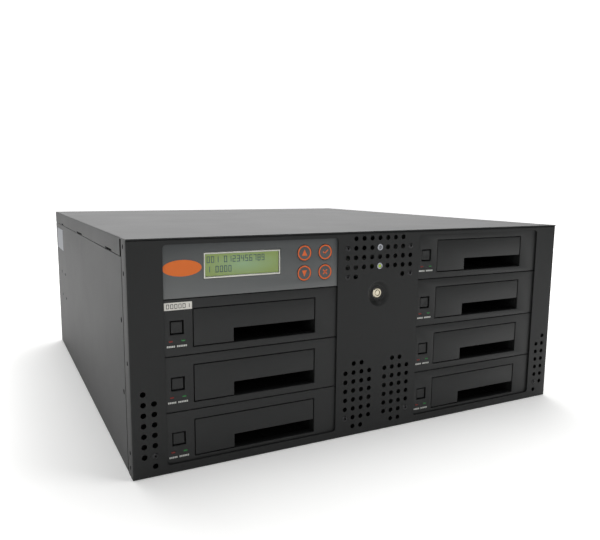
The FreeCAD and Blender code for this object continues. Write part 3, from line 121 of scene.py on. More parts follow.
def grain(
    material, shader, size_mm, depth_mm, strength, dark, light, rough_low, rough_high, stretch=(1, 1, 1)
):
    """Surface grain of a real size: it lifts the surface, and shifts colour and roughness a little.

    Mould, print and paper grain of about a tenth of a millimetre is too fine to show, so it is drawn three to
    five times as coarse. A colour that is the same all over stays on the shader's own socket.
    """
    position = add_node(material, "ShaderNodeTexCoord")
    turned = add_node(material, "ShaderNodeMapping", {"Vector": position.outputs["Object"]}, Scale=stretch)
    fine = add_node(
        material, "ShaderNodeTexNoise", {"Vector": turned.outputs["Vector"]},
        Scale=1.0 / (size_mm * MM), Detail=3.0, Roughness=0.55,
    )
    broad = add_node(
        material, "ShaderNodeTexNoise", {"Vector": turned.outputs["Vector"]},
        Scale=1.0 / (PATCH_SIZE * MM), Detail=4.0, Roughness=0.6,
    )
    lift = add_node(
        material, "ShaderNodeBump", {"Height": fine.outputs["Fac"]}, Strength=strength, Distance=depth_mm * MM
    )
    rough = add_node(material, "ShaderNodeMapRange", {"Value": broad.outputs["Fac"]})
    rough.inputs["To Min"].default_value = rough_low
    rough.inputs["To Max"].default_value = rough_high
    links = material.node_tree.links
    links.new(lift.outputs["Normal"], shader.inputs["Normal"])
    links.new(rough.outputs["Result"], shader.inputs["Roughness"])
    if dark != light:
        tint = add_node(material, "ShaderNodeValToRGB", {"Fac": broad.outputs["Fac"]})
        tint.color_ramp.elements[0].position = 0.3
        tint.color_ramp.elements[0].color = linear(dark)
        tint.color_ramp.elements[1].position = 0.7
        tint.color_ramp.elements[1].color = linear(light)
        links.new(tint.outputs["Color"], shader.inputs["Base Color"])
    return material


def textured_powder_coat():
    # Black polyester powder coat on steel: a fine orange-peel grain that goes pale where light grazes it.
    material, shader = finish("textured_powder_coat", "#1a1b1b", 0.5, ior=1.5, level=0.28)
    return grain(material, shader, 0.9, 0.05, 0.3, "#181919", "#1c1d1d", 0.46, 0.54)


def moulded_abs_black():
    # Black ABS with a spark-eroded mould texture: satin, with slightly glossier wear patches.
    material, shader = finish("moulded_abs_black", "#1d1e1e", 0.45, ior=1.5, level=0.3)
    return grain(material, shader, 0.5, 0.02, 0.25, "#1b1c1c", "#202121", 0.42, 0.5)


def moulded_abs_grey():
    # Dark grey ABS of the round keys, moulded with the same satin texture.
    material, shader = finish("moulded_abs_grey", "#4a4c4d", 0.42, ior=1.5, level=0.35)
    return grain(material, shader, 0.5, 0.02, 0.25, "#484a4b", "#4d4f50", 0.38, 0.46)


def fascia_overlay():
    # Satin polyester overlay on the control fascia: its grey is painted lighter towards the foot, as painted
    # light from the pale floor below.
    material, shader = finish("fascia_overlay", "#4a4c4d", 0.4, ior=1.5, level=0.35)
    grain(material, shader, 0.5, 0.02, 0.2, "#4a4c4d", "#4a4c4d", 0.36, 0.44)
    position = add_node(material, "ShaderNodeTexCoord")
    apart = add_node(material, "ShaderNodeSeparateXYZ", {"Vector": position.outputs["Object"]})
    low, high = (corner[2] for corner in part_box("control_fascia"))
    # Painted floor light: the grey runs from light at the fascia's foot to dark at its top.
    painted_light_height = add_node(material, "ShaderNodeMapRange", {"Value": apart.outputs["Z"]})
    painted_light_height.inputs["From Min"].default_value = low
    painted_light_height.inputs["From Max"].default_value = high
    fade = add_node(material, "ShaderNodeValToRGB", {"Fac": painted_light_height.outputs["Result"]})
    fade.color_ramp.elements[0].color = linear("#5e6060")
    fade.color_ramp.elements[1].color = linear("#383b3c")
    material.node_tree.links.new(fade.outputs["Color"], shader.inputs["Base Color"])
    return material


def rack_black_and_painted_shade():
    # Black glass-filled housing plastic behind the doors, dull and near-black: partly its own black and
    # partly painted shade, so that the drive's way in stays dark.
    material, shader = finish("rack_black_and_painted_shade", "#0c0c0c", 0.62, ior=1.58, level=0.3)
    return grain(material, shader, 0.8, 0.03, 0.3, "#0b0b0b", "#0e0e0e", 0.56, 0.68)


def glass_filled_nylon():
    # Black nylon of the fans and the mains inlet: slightly greasy sheen over a coarse grain.
    material, shader = finish("glass_filled_nylon", "#1b1b1c", 0.5)
    return grain(material, shader, 0.7, 0.04, 0.3, "#181819", "#1f1f20", 0.44, 0.56)


def zinc_plated_steel():
    # Bright zinc on folded steel: metallic, with the long faint streaks of rolling.
    material, shader = finish("zinc_plated_steel", "#b9bab8", 0.35, metallic=1.0)
    return grain(material, shader, 1.4, 0.01, 0.15, "#aeb0ae", "#c4c4c1", 0.28, 0.42, stretch=(1, 0.08, 1))


def nickel_plated_brass():
    # Nickel plate on the lock's core: warm silver with fine turning marks.
    material, shader = finish("nickel_plated_brass", "#c6beaa", 0.3, metallic=1.0)
    return grain(material, shader, 0.5, 0.01, 0.2, "#bdb5a0", "#cfc8b6", 0.24, 0.38)


def painted_rim_reflection():
    # Light grey of the light holders, a painted reflection: it stands for the bright rim that clear lamp
    # domes show against the white studio, so it stays bright from any side.
    material, shader = finish("painted_rim_reflection", "#a9acb3", 0.25, ior=1.58)
    return grain(material, shader, 0.8, 0.005, 0.1, "#a2a5ac", "#b0b2b9", 0.2, 0.3)


def display_frame_steel():
    # Satin nickel on the display's pressed frame.
    material, shader = finish("display_frame_steel", "#bcbcb4", 0.34, metallic=0.85)
    return grain(material, shader, 0.6, 0.01, 0.15, "#b4b4ac", "#c4c4bd", 0.28, 0.4)


def blackened_screw_steel():
    # Black oxide on the panel's screws: dark and slightly oily.
    material, shader = finish("blackened_screw_steel", "#353536", 0.34, metallic=0.9)
    return grain(material, shader, 0.4, 0.01, 0.2, "#303031", "#3c3c3d", 0.28, 0.42)


def black_plating_and_painted_shade():
    # Black plating on the lock's barrel. It is near-black as painted shade too: its front ring stands for the
    # dark gap round the lock's core.
    material, shader = finish("black_plating_and_painted_shade", "#060606", 0.25, level=0.3)
    return grain(material, shader, 0.5, 0.01, 0.15, "#050505", "#080808", 0.2, 0.3)


def tinted_acrylic(name, colour, glow, strength):
    # Dyed acrylic or epoxy: glossy, and faintly lit from behind where it carries a light.
    material, shader = finish(name, colour, 0.2, ior=1.49, glow=glow, glow_strength=strength)
    return grain(material, shader, 0.8, 0.01, 0.1, colour, colour, 0.16, 0.26)


def solder_mask_board(name, dark, light):
    # Fibreglass board under solder mask: glossy, with a faint weave.
    material, shader = finish(name, dark, 0.3, ior=1.55)
    return grain(material, shader, 0.6, 0.02, 0.2, dark, light, 0.26, 0.36)


def pad_print(name, colour):
    # Pad-printed ink: thin, even and slightly rough over the plastic.
    material, shader = finish(name, colour, 0.5, level=0.25)
    return grain(material, shader, 0.3, 0.005, 0.15, colour, colour, 0.46, 0.54)


def label_paper(name, colour, shade):
    # Coated label paper: nearly white, with the soft mottling of its fibres.
    material, shader = finish(name, colour, 0.55)
    return grain(material, shader, 0.5, 0.01, 0.2, shade, colour, 0.5, 0.6)


def backlit_display():
    # Yellow-green liquid crystal glass over its backlight: olive at its edges, greyer in the middle.
    material, shader = finish("backlit_display", "#6f8548", 0.14, ior=1.52)
    shader.inputs["Emission Strength"].default_value = 0.13
    low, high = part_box("display_glass")
    position = add_node(material, "ShaderNodeTexCoord")
    shifted = add_node(
        material, "ShaderNodeMapping", {"Vector": position.outputs["Object"]},
        Location=(-(low[0] + high[0]) / 2, 0, -(low[2] + high[2]) / 2),
    )
    # The middle fades out over about 31 mm across and 9.5 mm up.
    sized = add_node(
        material, "ShaderNodeMapping", {"Vector": shifted.outputs["Vector"]}, Scale=(32, 0, 105)
    )
    spread = add_node(
        material, "ShaderNodeTexGradient", {"Vector": sized.outputs["Vector"]}, gradient_type="SPHERICAL"
    )
    tone = add_node(material, "ShaderNodeValToRGB", {"Fac": spread.outputs["Fac"]})
    tone.color_ramp.elements[0].color = linear("#70833f")
    tone.color_ramp.elements[1].color = linear("#74906a")
    links = material.node_tree.links
    links.new(tone.outputs["Color"], shader.inputs["Base Color"])
    links.new(tone.outputs["Color"], shader.inputs["Emission Color"])
    return material


POWDER = textured_powder_coat()
ABS_BLACK = moulded_abs_black()
ABS_GREY = moulded_abs_grey()
OVERLAY = fascia_overlay()
RACK = rack_black_and_painted_shade()
NYLON = glass_filled_nylon()
ZINC = zinc_plated_steel()
NICKEL = nickel_plated_brass()
PAINTED_RIM = painted_rim_reflection()
FRAME_STEEL = display_frame_steel()
SCREW_STEEL = blackened_screw_steel()
BARREL_BLACK = black_plating_and_painted_shade()
RED_PIPE = tinted_acrylic("tinted_acrylic_red", "#5a1712", "#8a1c12", 0.12)
GREEN_PIPE = tinted_acrylic("tinted_acrylic_green", "#1a4a25", "#2a9a42", 0.14)
LAMP = tinted_acrylic("lamp_epoxy_clear", "#77797c", None, 0)
LIT_LAMP = tinted_acrylic("lamp_epoxy_lit", "#8fa82c", "#9ab32e", 0.22)
BOARD = solder_mask_board("solder_mask_board_green", "#15402a", "#1b4c33")
# Near-black board behind the vents: painted shade.
VENT_SHADE_BOARD = solder_mask_board("board_black_painted_shade", "#060706", "#080909")
KEY_INK = pad_print("pad_printed_rust", "#cf6230")
ORANGE_INK = pad_print("pad_printed_orange", "#cc672a")
WHITE_INK = pad_print("pad_printed_white", "#b8b9b5")
WHITE_LABEL = label_paper("label_paper_white", "#cfcdc6", "#c5c2bb")
GREY_LABEL = label_paper("label_polyester_grey", "#94979d", "#8b8e95")
DISPLAY = backlit_display()
LIQUID_CRYSTAL = pad_print("liquid_crystal_dark", "#46585a")
LABEL_INK = pad_print("label_ink_black", "#2a2a2a")

SLOT_MATERIALS = {
    "black_coat": POWDER,
    "zinc_steel": ZINC,
    "screw_black": SCREW_STEEL,
    "circuit_board": BOARD,
    "bezel_plastic": ABS_BLACK,
    "door_plastic": ABS_BLACK,
    "button_plastic": ABS_BLACK,
    "rack_plastic": RACK,
    "red_pipe": RED_PIPE,
    "green_pipe": GREEN_PIPE,
    "fascia_plastic": OVERLAY,
    "key_plastic": ABS_GREY,
    "display_metal": FRAME_STEEL,
    "display_green": DISPLAY,
    "lock_black": BARREL_BLACK,
    "lock_bright": NICKEL,
    "bright_ring": PAINTED_RIM,
    "lamp_clear": LAMP,
    "black_plastic": NYLON,
}
# The little board behind the panel's vents is drawn near-black, whatever its slot, as painted shade seen
# through the vents.
NODE_MATERIALS = {"lamp_board": VENT_SHADE_BOARD}
NODE_SLOTS = {part["node"]: part["material_slot"] for part in frame["record"]["subparts"]}


def paint(piece, material):
    """Gives a piece one material all over."""
    piece.data.materials.clear()
    piece.data.materials.append(material)


for cad_name, cad_piece in frame["nodes"].items():
    slot_material = SLOT_MATERIALS[NODE_SLOTS[cad_name]]
    paint(cad_piece, NODE_MATERIALS.get(cad_name, slot_material))


# ------------------------------------------------------------------ modelling by hand
def place(x, y, z):
    """A point in metres from millimetres on the machine."""
    return Vector((x * MM, FACE + y * MM, z * MM))


def pick(*pieces):
    """Selects these pieces alone, the first one active."""
    bpy.ops.object.select_all(action="DESELECT")
    for piece in pieces:
        piece.select_set(True)
    bpy.context.view_layer.objects.active = pieces[0]


def settle(piece, name):
    """Names a new piece and puts its place into its mesh."""
    piece.name = name
    piece.data.name = name
    pick(piece)
    bpy.ops.object.transform_apply(location=True, rotation=True, scale=True)
    return piece


def bar(name, x, y, z):
    """A block between three (low, high) pairs."""
    low = place(x[0], y[0], z[0])
    high = place(x[1], y[1], z[1])
    bpy.ops.object.select_all(action="DESELECT")
    bpy.ops.mesh.primitive_cube_add(size=1, location=(low + high) / 2)
    piece = bpy.context.object
    piece.scale = high - low
    return settle(piece, name)


def tile(name, centre, size, y):
    """A block whose front face is centred at (x, z) and has a (width, height)."""
    x, z = centre
    return bar(name, (x - size[0] / 2, x + size[0] / 2), y, (z - size[1] / 2, z + size[1] / 2))


def rod(name, centre, radius, y, sides=48):
    """A round bar along y through (x, z)."""
    bpy.ops.object.select_all(action="DESELECT")
    bpy.ops.mesh.primitive_cylinder_add(
        vertices=sides,
        radius=radius * MM,
        depth=(y[1] - y[0]) * MM,
        location=place(centre[0], (y[0] + y[1]) / 2, centre[1]),
        rotation=(math.pi / 2, 0, 0),
    )
    return settle(bpy.context.object, name)


def rod_across(name, y, z, radius, x, sides=24):
    """A round bar along x."""
    bpy.ops.object.select_all(action="DESELECT")
    bpy.ops.mesh.primitive_cylinder_add(
        vertices=sides,
        radius=radius * MM,
        depth=(x[1] - x[0]) * MM,
        location=place((x[0] + x[1]) / 2, y, z),
        rotation=(0, math.pi / 2, 0),
    )
    return settle(bpy.context.object, name)


def shape_with(piece, kind, **settings):
    """Adds a modifier, sets it and applies it."""
    pick(piece)
    modifier = piece.modifiers.new(kind.lower(), kind)
    for key, value in settings.items():
        setattr(modifier, key, value)
    bpy.ops.object.modifier_apply(modifier=modifier.name)
    return piece


def join(name, pieces):
    """Several pieces as one object."""
    pick(*pieces)
    bpy.ops.object.join()
    pieces[0].name = name
    pieces[0].data.name = name
    return pieces[0]


def cut(piece, tools):
    """Cuts the tools from the piece and deletes them."""
    tool = join("cutter", tools) if len(tools) > 1 else tools[0]
    shape_with(piece, "BOOLEAN", object=tool, operation="DIFFERENCE", solver="EXACT")
    bpy.data.objects.remove(tool)
    return piece


def soften(piece, width, segments=2, angle=40):
    """Rounds every edge sharper than the angle by a width in millimetres."""
    shape_with(
        piece, "BEVEL", width=width * MM, segments=segments, limit_method="ANGLE",
        angle_limit=math.radians(angle), use_clamp_overlap=True, harden_normals=False,
    )
    pick(piece)
    bpy.ops.object.shade_smooth_by_angle(angle=math.radians(35))
    return piece


def select_where(piece, kind, wanted):
    """Enters edit mode with only those edges or faces of a piece selected that pass a test."""
    pick(piece)
    bpy.ops.object.mode_set(mode="EDIT")
    bpy.ops.mesh.select_all(action="DESELECT")
    bpy.ops.object.mode_set(mode="OBJECT")
    for element in piece.data.edges if kind == "EDGE" else piece.data.polygons:
        element.select = wanted(element)
    bpy.ops.object.mode_set(mode="EDIT")
    bpy.ops.mesh.select_mode(type=kind)


def on_whole_mesh(piece, operator, **settings):
    """Runs an edit-mode operator on all of a piece's mesh."""
    pick(piece)
    bpy.ops.object.mode_set(mode="EDIT")
    bpy.ops.mesh.select_all(action="SELECT")
    operator(**settings)
    bpy.ops.object.mode_set(mode="OBJECT")
    return piece


def round_edges_along(piece, axis, radius, segments, at_y=None):
    """Rounds the edges of a block that run along an axis, all of them or those at one depth."""
    def wanted(edge):
        start, end = (piece.data.vertices[i].co for i in edge.vertices)
        run = end - start
        runs_along = abs(run["xyz".index(axis)]) > 0.9 * run.length
        return runs_along and (at_y is None or abs(start.y - place(0, at_y, 0).y) < 1e-6)

    select_where(piece, "EDGE", wanted)
    bpy.ops.mesh.bevel(offset=radius * MM, segments=segments, affect="EDGES")
    bpy.ops.object.mode_set(mode="OBJECT")
    return piece


def lathe(name, centre, profile, sides=48, closed=False):
    """A ring of (radius, y) steps drawn out one after another about the line along y through (x, z)."""
    x, z = centre
    radius, y = profile[0]
    bpy.ops.object.select_all(action="DESELECT")
    bpy.ops.mesh.primitive_circle_add(
        vertices=sides, radius=radius * MM, fill_type="NOTHING",
        location=place(x, y, z), rotation=(math.pi / 2, 0, 0),
    )
    piece = settle(bpy.context.object, name)
    bpy.ops.object.mode_set(mode="EDIT")
    bpy.ops.mesh.select_mode(type="VERT")
    bpy.ops.mesh.select_all(action="SELECT")
    if not closed:
        bpy.ops.mesh.edge_face_add()
    steps = profile[1:] + profile[:1] if closed else profile[1:]
    for next_radius, next_y in steps:
        bpy.ops.mesh.extrude_region_move(TRANSFORM_OT_translate={"value": (0, (next_y - y) * MM, 0)})
        grow = next_radius / radius
        bpy.ops.transform.resize(value=(grow, 1, grow), center_override=place(x, next_y, z))
        radius, y = next_radius, next_y
    bpy.ops.mesh.select_all(action="SELECT")
    bpy.ops.mesh.remove_doubles(threshold=0.00001)
    bpy.ops.mesh.normals_make_consistent(inside=False)
    bpy.ops.object.mode_set(mode="OBJECT")
    pick(piece)
    bpy.ops.object.shade_smooth_by_angle(angle=math.radians(35))
    return piece


def copy_moved(piece, name, x, z):
    """A copy with its own mesh, moved across and up in millimetres."""
    pick(piece)
    bpy.ops.object.duplicate()
    twin = bpy.context.object
    twin.location = (x * MM, 0, z * MM)
    return settle(twin, name)


def seat(piece, body, slot_name, material, *stands_for):
    """Paints a finished piece, attaches it to its body and hides the solids that it stands for; its slot name
    is not used.
    """
    paint(piece, material)
    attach(piece, body)
    if stands_for:
        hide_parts(*stands_for)
    return piece


# ------------------------------------------------------------------ front panel
def pattern_places(rows, first_x, top_z, mark, way=1):
    """Places of one mark in a pattern of rows."""
    found = []
    for down, row in enumerate(rows):
        for along, letter in enumerate(row):
            if letter == mark:
                found.append((first_x + way * along * VENT_PITCH, top_z - down * VENT_PITCH))
    return found


def front_places(mark):
    """Every place on the panel with that mark."""
    places = pattern_places(TOP_ROWS, -4 * VENT_PITCH, TOP_ROWS_Z, mark)
    for way in (1, -1):
        places += pattern_places(LOWER_ROWS, -way * 4 * VENT_PITCH, LOWER_ROWS_Z, mark, way)
        places += pattern_places(CORNER_ROWS, -way * CORNER_COLUMN, LOWER_ROWS_Z, mark, way)
    return places


# Small countersunk screws that fasten the panel's side flanges, as (y, z).
FLANGE_SCREWS = ((10.0, 171.0), (10.0, 152.0), (7.0, 87.0), (7.5, 19.0), (8.5, 7.0))
FLANGE_HOLE_RADIUS = 1.8
FLANGE_HEAD_RADIUS = 1.7
FLANGE_HEAD_DEPTHS = (0.7, 1.1)
FLANGE_SOCKET_RADIUS = 0.7
FLANGE_SOCKET_DEPTH = 0.25
# Flanges folded back along the panel's foot and top.
FLANGE_HALF = 209.4
FLANGE_BACK = 12.0
FLANGE_LOWS = (1.0, 174.8)
# Pressed dish as (radius, y): from its hole up the sloping wall to the rim, and back along its rear.
DISH_PROFILE = [
    (6.3, 4.2), (6.3, 3.0), (7.1, 3.0), (7.5, 2.85), (8.2, 2.2), (9.8, 0.6), (10.4, 0.18), (DISH_RADIUS, 0.0),
    (DISH_RADIUS, 1.2), (10.9, 1.6), (9.9, 3.0), (8.6, 4.1), (7.6, 4.2),
]
# Button head and shank of a panel screw as (radius, y).
SCREW_PROFILE = [
    (0.05, -0.6), (1.3, -0.58), (1.9, -0.42), (2.3, -0.15), (2.45, 0.0), (1.5, 0.0), (1.5, 7.0), (0.05, 7.0)
]


def flange_screws(way):
    """The countersunk screws of one side flange, their flat heads just under its surface."""
    outer, inner = (way * (CASE_HALF - depth) for depth in FLANGE_HEAD_DEPTHS)
    thickness = sorted((outer, inner))
    socket = sorted((outer + way, outer - way * FLANGE_SOCKET_DEPTH))
    heads = []
    for y, z in FLANGE_SCREWS:
        head = soften(rod_across("screw", y, z, FLANGE_HEAD_RADIUS, thickness), 0.15, 1)
        heads.append(cut(head, [rod_across("socket", y, z, FLANGE_SOCKET_RADIUS, socket, 6)]))
    return heads


def punched_panel():
    """Folded front sheet: rounded bends, two openings, round vents and the hole of the pressed dish."""
    sheet = bar("front_sheet", (-CASE_HALF, CASE_HALF), (0, PANEL_WRAP), (0, PANEL_TOP))
    round_edges_along(sheet, "z", PANEL_BEND, 4, at_y=0)
    inner = CASE_HALF - PANEL_SHEET
    cut(sheet, [bar("hollow", (-inner, inner), (PANEL_SHEET, PANEL_WRAP + 5), (-5, PANEL_TOP + 5))])
    openings = []
    for way in (-1, 1):
        centre = way * OPENING_CENTRE
        across = (centre - OPENING_HALF, centre + OPENING_HALF)
        opening = bar("opening", across, THROUGH_PANEL, (OPENING_LOW, OPENING_HIGH))
        openings.append(round_edges_along(opening, "y", OPENING_CORNER, 6))
    openings.append(rod("dish_hole", (0, LOCK_Z), DISH_RADIUS, THROUGH_PANEL, 64))
    cut(sheet, openings)
    vents = [spot for mark in "OSL" for spot in front_places(mark)]
    punches = [rod("punch", spot, VENT_RADIUS, THROUGH_PANEL, 20) for spot in vents]
    both_flanges = (-CASE_HALF - 5, CASE_HALF + 5)
    punches += [rod_across("punch", y, z, FLANGE_HOLE_RADIUS, both_flanges, 20) for y, z in FLANGE_SCREWS]
    cut(sheet, punches)
    pick(sheet)
    bpy.ops.object.shade_smooth_by_angle(angle=math.radians(35))
    flanges = [
        bar("flange", (-FLANGE_HALF, FLANGE_HALF), (PANEL_SHEET, FLANGE_BACK), (low, low + PANEL_SHEET))
        for low in FLANGE_LOWS
    ]
    dish = lathe("dish", (0, LOCK_Z), DISH_PROFILE, 64, closed=True)
    return join("front_sheet", [sheet] + flanges + [dish])


def panel_screw(spot):
    """Button-headed screw with a hexagonal socket."""
    head = lathe("screw", spot, SCREW_PROFILE, 28)
    return cut(head, [rod("socket", spot, 1.0, (-1.0, 0.9), 6)])


def panel_screws(spots):
    """One screw, and its copies at the other spots."""
    first_x, first_z = spots[0]
    first = panel_screw(spots[0])
    return [first] + [copy_moved(first, "screw", x - first_x, z - first_z) for x, z in spots[1:]]


seat(punched_panel(), "chassis", "black_coat", POWDER, "front_panel")
screw_set = join("panel_screw_set", panel_screws(front_places("S")))
seat(screw_set, "chassis", "screw_black", SCREW_STEEL, "panel_screws")
seat(join("flange_screw_set", flange_screws(-1) + flange_screws(1)), "chassis", "screw_black", SCREW_STEEL)


# ------------------------------------------------------------------ one bay, modelled in the first and copied
# Places in a bay are (x, z) from its centre and its floor.
BAY_HALF = 74.0
BAY_LOW = 0.3
BAY_HIGH = 42.4
SKIRT = 2.0
DOORWAY = (-50.85, 52.55)
SILL = 5.55
LINTEL = 35.05
THROAT_WALL = 1.6
THROAT_CHEEK = 38.55
DOOR_GAP = 0.75
DOOR_DEPTHS = (1.7, 3.7)
NOTCH_WIDTH = 71.0
NOTCH_HEIGHT = 11.3
WEB_DEPTHS = (3.6, 4.6)
WEB_LAP = 2.6
HINGE_Y = 5.0
HINGE_Z = 36.1
HINGE_RADIUS = 1.0
HINGE_REACH = 1.95
BUTTON_AT = (-62.9, 21.55)
BUTTON = (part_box("power_button_1")[1][0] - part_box("power_button_1")[0][0]) / MM
BUTTON_FRONT = 2.2
BUTTON_BACK = 5.0
BUTTON_STEM = 5.0
BUTTON_STEM_BACK = 8.6
BUTTON_RIM = 1.2
BUTTON_SLOPE = 0.9
BUTTON_DISH = 0.25
WELL = BUTTON + 1.7
WELL_WALL = 1.2
WELL_FLOOR = (6.8, 8.0)
GUIDE_HOLE = 5.5
LIGHTS_AT = ((-67.6, 11.4), (-58.2, 11.4))
LIGHT_WINDOW = (3.1, 1.3)
LIGHT_PIPE = (3.0, 1.2)
LIGHT_PIPE_BACK = 11.4
MARK_SIZE = (0.95, 1.35)
MARKS_AT = (-70.2, 7.6)
MARK_PITCH = 1.28
MARK_COUNT = 12
MARK_GAP = 5


def bay_origin(node):
    """Centre and floor of the bay that a bezel fills, in millimetres."""
    low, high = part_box(node)
    return (low[0] + high[0]) / 2 / MM, low[2] / MM - BAY_LOW


def skirt_walls(centre, low, high):
    """The four walls behind the edges of a front plate."""
    back = (BEZEL_INSIDE, BEZEL_BACK)
    left, right = centre - BAY_HALF, centre + BAY_HALF
    return [
        bar("skirt", (left, left + SKIRT), back, (low, high)),
        bar("skirt", (right - SKIRT, right), back, (low, high)),
        bar("skirt", (left + SKIRT, right - SKIRT), back, (low, low + SKIRT)),
        bar("skirt", (left + SKIRT, right - SKIRT), back, (high - SKIRT, high)),
    ]


def moulded_bezel(centre, floor):
    """Bezel: softened front plate with doorway, button well and light windows, and the walls behind it."""
    left, right = centre + DOORWAY[0], centre + DOORWAY[1]
    sill, lintel = floor + SILL, floor + LINTEL
    low, high = floor + BAY_LOW, floor + BAY_HIGH
    button = (centre + BUTTON_AT[0], floor + BUTTON_AT[1])
    plate = bar("bezel", (centre - BAY_HALF, centre + BAY_HALF), (BEZEL_FACE, BEZEL_INSIDE), (low, high))
    tools = [
        bar("doorway", (left, right), THROUGH_BEZEL, (sill, lintel)),
        tile("well", button, (WELL, WELL), THROUGH_BEZEL),
    ]
    for x, z in LIGHTS_AT:
        tools.append(tile("window", (centre + x, floor + z), LIGHT_WINDOW, THROUGH_BEZEL))
    soften(cut(plate, tools), 0.3, 3)
    back = (BEZEL_INSIDE, BEZEL_BACK)
    cheek = floor + THROAT_CHEEK
    walls = skirt_walls(centre, low, high)
    walls += [
        bar("throat", (left - THROAT_WALL, right + THROAT_WALL), back, (sill - THROAT_WALL, sill)),
        bar("throat", (left - THROAT_WALL, left), back, (sill, cheek)),
        bar("throat", (right, right + THROAT_WALL), back, (sill, cheek)),
    ]
    return join("bezel", [plate] + walls + button_well(button))


def button_well(button):
    """The walls round a button and the floor with its guide hole."""
    x, z = button
    off = (WELL + WELL_WALL) / 2
    depth = (BEZEL_INSIDE, WELL_FLOOR[1])
    walls = []
    for way in (-1, 1):
        upright = (WELL_WALL, WELL + 2 * WELL_WALL)
        walls.append(tile("well_wall", (x + way * off, z), upright, depth))
        walls.append(tile("well_wall", (x, z + way * off), (WELL, WELL_WALL), depth))
    guide = tile("guide", button, (GUIDE_HOLE, GUIDE_HOLE), THROUGH_BEZEL)
    return walls + [cut(tile("well_floor", button, (WELL, WELL), WELL_FLOOR), [guide])]


def flap_door(centre, floor):
    """Flap door: softened plate with the small drive's notch, the web behind its top and the hinge rod."""
    left, right = centre + DOORWAY[0] + DOOR_GAP, centre + DOORWAY[1] - DOOR_GAP
    low, high = floor + SILL + DOOR_GAP, floor + LINTEL - DOOR_GAP
    plate = bar("door", (left, right), DOOR_DEPTHS, (low, high))
    notch_left = right + DOOR_GAP - NOTCH_WIDTH
    notch = bar("notch", (notch_left, right + 5), THROUGH_BEZEL, (low - 5, floor + SILL + NOTCH_HEIGHT))
    soften(cut(plate, [notch]), 0.25, 3)
    hinge_z = floor + HINGE_Z
    web = bar("web", (left, right), WEB_DEPTHS, (high - WEB_LAP, hinge_z))
    hinge = rod_across("hinge", HINGE_Y, hinge_z, HINGE_RADIUS, (left - HINGE_REACH, right + HINGE_REACH))
    return join("door", [plate, web, soften(hinge, 0.15, 1)])


def push_button(centre, floor):
    """Square button with soft edges and a shallow dished face."""
    spot = (centre + BUTTON_AT[0], floor + BUTTON_AT[1])
    cap = tile("button", spot, (BUTTON, BUTTON), (BUTTON_FRONT, BUTTON_BACK))
    select_where(cap, "FACE", lambda face: face.normal.y < -0.9)
    bpy.ops.mesh.inset(thickness=BUTTON_RIM * MM, depth=0)
    bpy.ops.mesh.inset(thickness=BUTTON_SLOPE * MM, depth=-BUTTON_DISH * MM)
    bpy.ops.object.mode_set(mode="OBJECT")
    soften(cap, 0.6, 3, angle=50)
    stem = tile("stem", spot, (BUTTON_STEM, BUTTON_STEM), (BUTTON_BACK, BUTTON_STEM_BACK))
    return join("button", [cap, stem])


def light_window(centre, floor, spot):
    """Light pipe with its end softened."""
    pipe = tile("pipe", (centre + spot[0], floor + spot[1]), LIGHT_PIPE, (BEZEL_FACE, LIGHT_PIPE_BACK))
    return soften(pipe, 0.2, 2)


def bay_print(centre, floor):
    """Printed marks under the lights: a row of tiny dashes, in one group for each light."""
    depth = (BEZEL_FACE - 0.03, BEZEL_FACE + 0.05)
    marks = []
    for step in range(MARK_COUNT):
        if step != MARK_GAP:
            x = centre + MARKS_AT[0] + step * MARK_PITCH
            marks.append(tile("mark", (x, floor + MARKS_AT[1]), MARK_SIZE, depth))
    return join("marks", marks)


BAYS = range(1, 8)
first_bay = bay_origin("bay_bezel_1")
patterns = {
    "bezel": moulded_bezel(*first_bay),
    "door": flap_door(*first_bay),
    "button": push_button(*first_bay),
    "red": light_window(*first_bay, LIGHTS_AT[0]),
    "green": light_window(*first_bay, LIGHTS_AT[1]),
    "marks": bay_print(*first_bay),
}
reds, greens, mark_sets = [], [], []
for number in BAYS:
    centre, floor = bay_origin(f"bay_bezel_{number}")
    shift = (centre - first_bay[0], floor - first_bay[1])
    bezel = copy_moved(patterns["bezel"], f"moulded_bezel_{number}", *shift)
    door = copy_moved(patterns["door"], f"flap_door_{number}", *shift)
    button = copy_moved(patterns["button"], f"push_button_{number}", *shift)
    seat(bezel, "chassis", "bezel_plastic", ABS_BLACK, f"bay_bezel_{number}")
    seat(door, f"door_{number}", "door_plastic", ABS_BLACK, f"bay_door_{number}")
    seat(button, f"power_push_{number}", "button_plastic", ABS_BLACK, f"power_button_{number}")
    reds.append(copy_moved(patterns["red"], "red", *shift))
    greens.append(copy_moved(patterns["green"], "green", *shift))
    mark_sets.append(copy_moved(patterns["marks"], "marks", *shift))
for pattern in patterns.values():
    bpy.data.objects.remove(pattern)
seat(join("power_lights", reds), "chassis", "red_pipe", RED_PIPE, "power_light_pipes")
seat(join("access_lights", greens), "chassis", "green_pipe", GREEN_PIPE, "access_light_pipes")
seat(join("bay_marks", mark_sets), "chassis", "bezel_plastic", WHITE_INK)


# ------------------------------------------------------------------ plain numbers
# Strokes of each digit, a to g: top, upper right, lower right, foot, lower left, upper left, middle.
DIGIT_STROKES = ("abcdef", "bc", "abged", "abgcd", "fgbc", "afgcd", "afgedc", "abc", "abcdefg", "abcdfg")


def number_row(name, digits, start, size, pitch, stroke, y):
    """A row of plain digits drawn with straight strokes, from its lower left corner (x, z)."""
    width, height = size
    half = (height - stroke) / 2
    places = {
        "a": (width / 2, height - stroke / 2), "g": (width / 2, height / 2), "d": (width / 2, stroke / 2),
        "b": (width - stroke / 2, height / 2 + half / 2), "f": (stroke / 2, height / 2 + half / 2),
        "c": (width - stroke / 2, height / 2 - half / 2), "e": (stroke / 2, height / 2 - half / 2),
    }
    strokes = []
    for along, digit in enumerate(digits):
        for part in DIGIT_STROKES[int(digit)] if digit != " " else "":
            across, up = places[part]
            long = (width, stroke) if part in "agd" else (stroke, half)
            strokes.append(tile(name, (start[0] + along * pitch + across, start[1] + up), long, y))
    return join(name, strokes)


